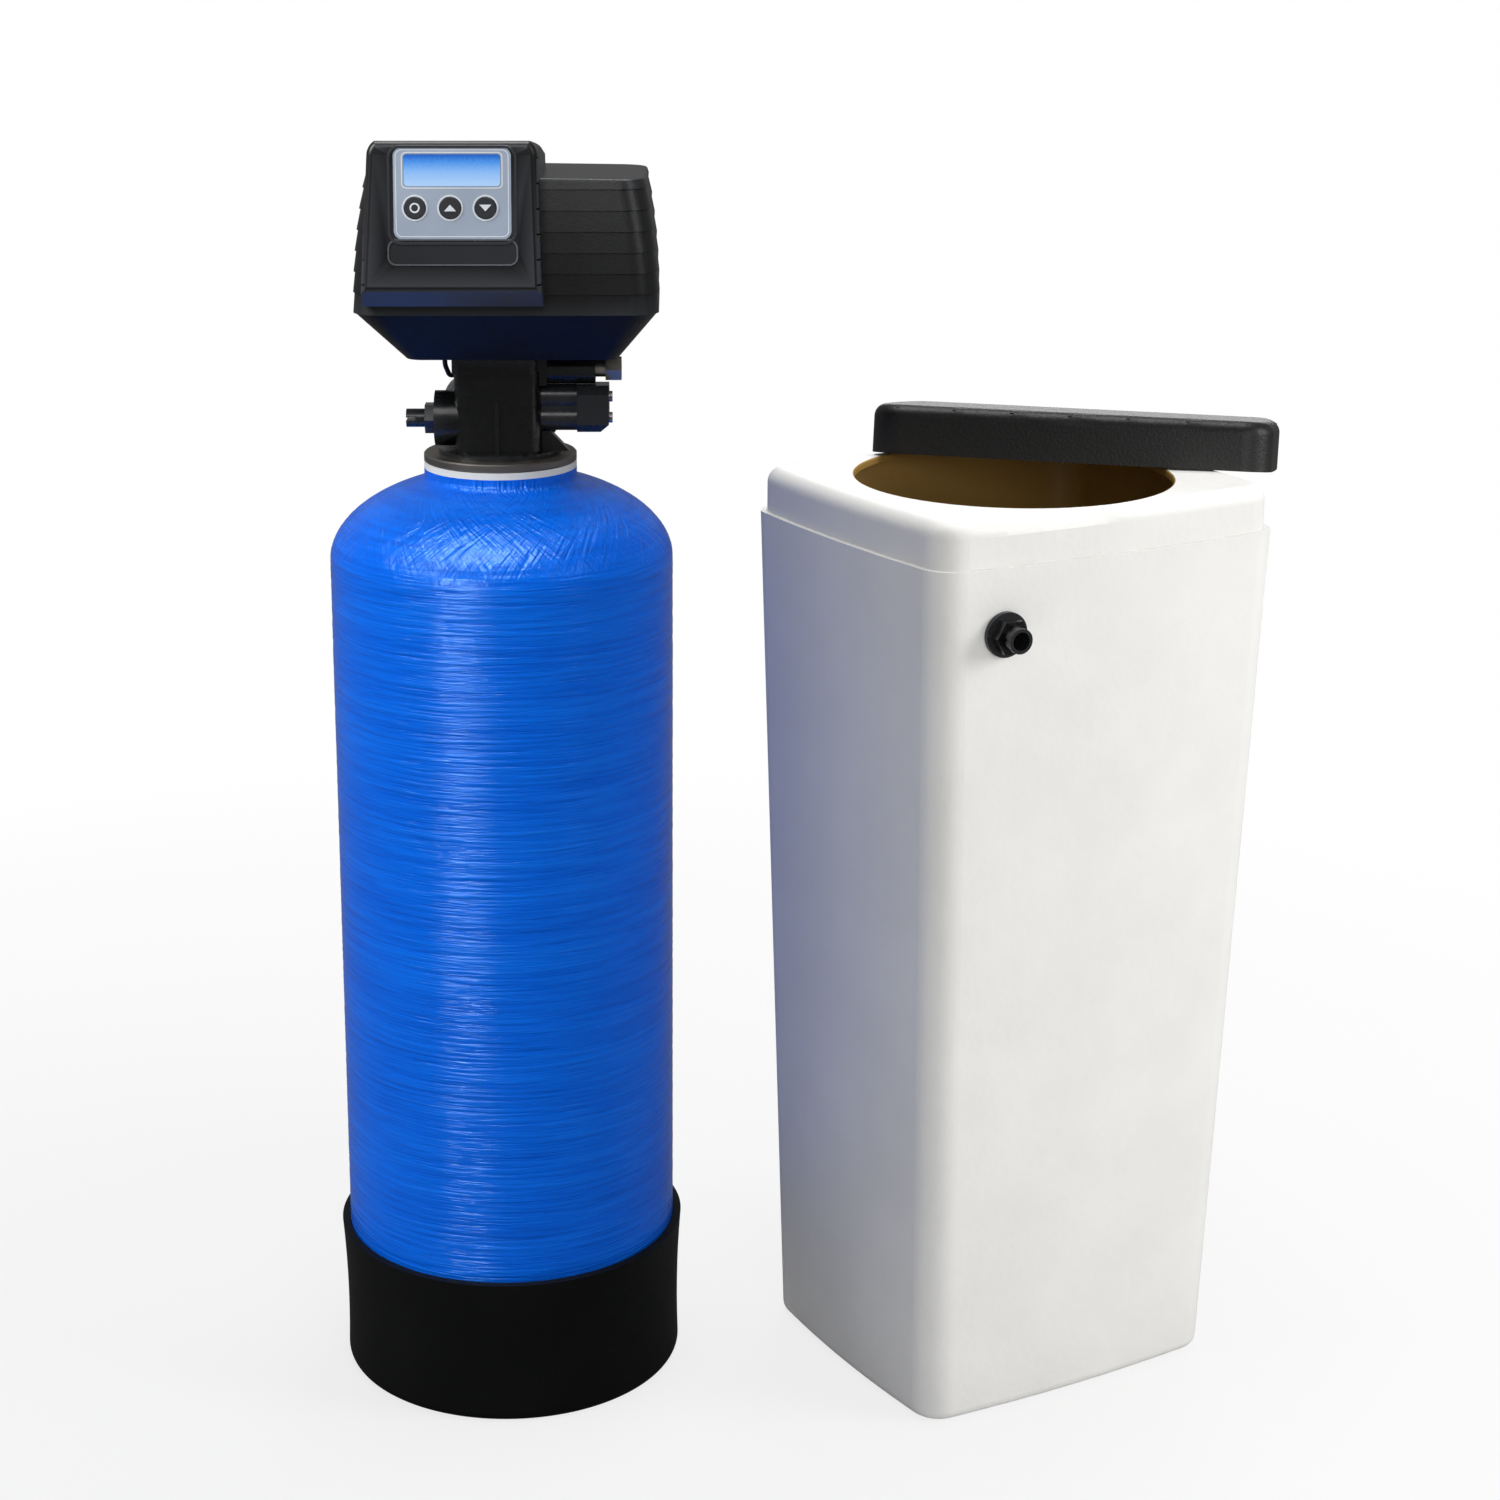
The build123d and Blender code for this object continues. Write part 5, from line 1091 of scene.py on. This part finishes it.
@dataclass
class Studio:
    """Camera, floor, lamps and world. Lengths here are metres."""

    camera_place: tuple[float, float, float] = (0.10327, -1.70005, 0.92038)
    camera_tilt: float = 75.01
    lens: float = 68.74
    shift: tuple[float, float] = (0.0522, -0.0642)
    floor_half: float = 30.0
    floor_fade: tuple[float, float] = (0.35, 1.3)
    floor_share: tuple[float, float] = (0.78, 1.0)
    floor_gloss: float = 0.1
    world_gloss: float = 0.16
    world_light: float = 0.24
    sides: dict[str, bpy.types.Collection] = field(default_factory=dict)
    tank_names: tuple[str, ...] = (
        "brine_tank",
        "brine_lid",
        "brine_well",
        "well_cap",
        "salt_grid",
        "safety_valve",
        "brine_float",
        "overflow_fitting",
        "overflow_nut",
    )

    def light_new(self) -> None:
        """Let the window light the new pieces too, which all sit on the vessel's side."""
        known = set(self.sides["vessel"].objects)
        for piece in bpy.context.scene.objects:
            new = piece.type == "MESH" and piece.name not in frame["nodes"] and piece.name != "floor"
            if new and piece not in known:
                self.sides["vessel"].objects.link(piece)
        self.sides["shell"].objects.link(bpy.data.objects["wound_shell"])

    def build_camera(self) -> None:
        """Camera at the photograph's viewing angle."""
        data = bpy.data.cameras.new("camera")
        data.sensor_width = 36.0
        data.lens = self.lens
        data.shift_x, data.shift_y = self.shift
        camera = bpy.data.objects.new("camera", data)
        camera.location = self.camera_place
        camera.rotation_euler = (math.radians(self.camera_tilt), 0, 0)
        bpy.context.scene.collection.objects.link(camera)
        bpy.context.scene.camera = camera

    def build_floor(self) -> None:
        """Wide pale floor that meets the camera as white and still takes the shadow."""
        half = self.floor_half
        mesh = bpy.data.meshes.new("floor")
        corners = [(-half, -half, 0), (half, -half, 0), (half, half, 0), (-half, half, 0)]
        mesh.from_pydata(corners, [], [(0, 1, 2, 3)])
        floor = bpy.data.objects.new("floor", mesh)
        bpy.context.scene.collection.objects.link(floor)
        material, tree, shader, place = start_material("PaleFloor")
        shader.inputs["Roughness"].default_value = 0.85
        shader.inputs["Specular IOR Level"].default_value = 0.1
        seen = add_node(tree, "ShaderNodeLightPath").outputs
        # seen in a reflection the floor is grey, so that dark and blue faces keep their depth
        base = mix_colour(tree, seen["Is Glossy Ray"], linear("#dadad9"), linear("#5a5a59"))
        tree.links.new(base, shader.inputs["Base Color"])
        glow = add_node(tree, "ShaderNodeEmission", Color=(1, 1, 1, 1), Strength=1.0).outputs[0]
        reach = vector_maths(tree, "LENGTH", place, output="Value")
        fade = map_range(tree, reach, *self.floor_fade, *self.floor_share)
        gloss = maths(tree, "MULTIPLY", seen["Is Glossy Ray"], self.floor_gloss)
        share = maths(tree, "MULTIPLY", maths(tree, "MAXIMUM", seen["Is Camera Ray"], gloss), fade)
        both = add_node(tree, "ShaderNodeMixShader", s0=share, s1=shader.outputs[0], s2=glow)
        tree.links.new(both.outputs[0], tree.nodes["Material Output"].inputs["Surface"])
        mesh.materials.append(material)

    def build_lamp(self, lamp: Lamp) -> None:
        """Make an area lamp that looks at its aim.

        Args:
            lamp: the lamp's place, size, power and side.
        """
        data = bpy.data.lights.new(lamp.name, "AREA")
        data.shape = "RECTANGLE"
        data.size, data.size_y = lamp.size
        data.energy = lamp.power
        light = bpy.data.objects.new(lamp.name, data)
        light.location = lamp.place
        way = np.array(lamp.aim, float) - np.array(lamp.place, float)
        flat = math.hypot(way[0], way[1])
        light.rotation_euler = (math.atan2(flat, -way[2]), 0, math.atan2(way[1], way[0]) - math.pi / 2)
        light.visible_camera = False
        light.visible_diffuse = not lamp.glint
        if lamp.side in self.sides:
            light.light_linking.receiver_collection = self.sides[lamp.side]
        bpy.context.scene.collection.objects.link(light)

    def build_world(self) -> None:
        """Plain pale surroundings."""
        world = bpy.data.worlds.new("world")
        bpy.context.scene.world = world
        world.use_nodes = True
        tree = world.node_tree
        seen = add_node(tree, "ShaderNodeLightPath").outputs
        gloss = maths(tree, "MULTIPLY", seen["Is Glossy Ray"], self.world_gloss)
        clear = maths(tree, "MAXIMUM", seen["Is Camera Ray"], gloss)
        clear = maths(tree, "MAXIMUM", seen["Is Transmission Ray"], clear)
        strength = maths(tree, "MAXIMUM", clear, self.world_light)
        background = tree.nodes["Background"]
        background.inputs["Color"].default_value = (1, 1, 1, 1)
        tree.links.new(strength, background.inputs["Strength"])

    def build(self) -> None:
        """Build the whole stage."""
        self.build_camera()
        self.build_floor()
        self.build_world()
        for side in ("vessel", "tank", "shell"):
            self.sides[side] = bpy.data.collections.new(f"{side}_side")
        for name, node in frame["nodes"].items():
            self.sides["tank" if name in self.tank_names else "vessel"].objects.link(node)
        self.sides["tank"].objects.link(bpy.data.objects["floor"])
        for lamp in LAMPS:
            self.build_lamp(lamp)
        bpy.context.scene.view_settings.view_transform = "Standard"


def main() -> None:
    """Build the object's looks in order."""
    palette = Palette()
    studio = Studio()
    studio.build()
    Dressing(palette).build()
    for part in (Vessel(palette), Panel(palette), Couplings(palette)):
        part.build()
        log.info("built %s", type(part).__name__)
    studio.light_new()


if __name__ == "__main__":
    main()
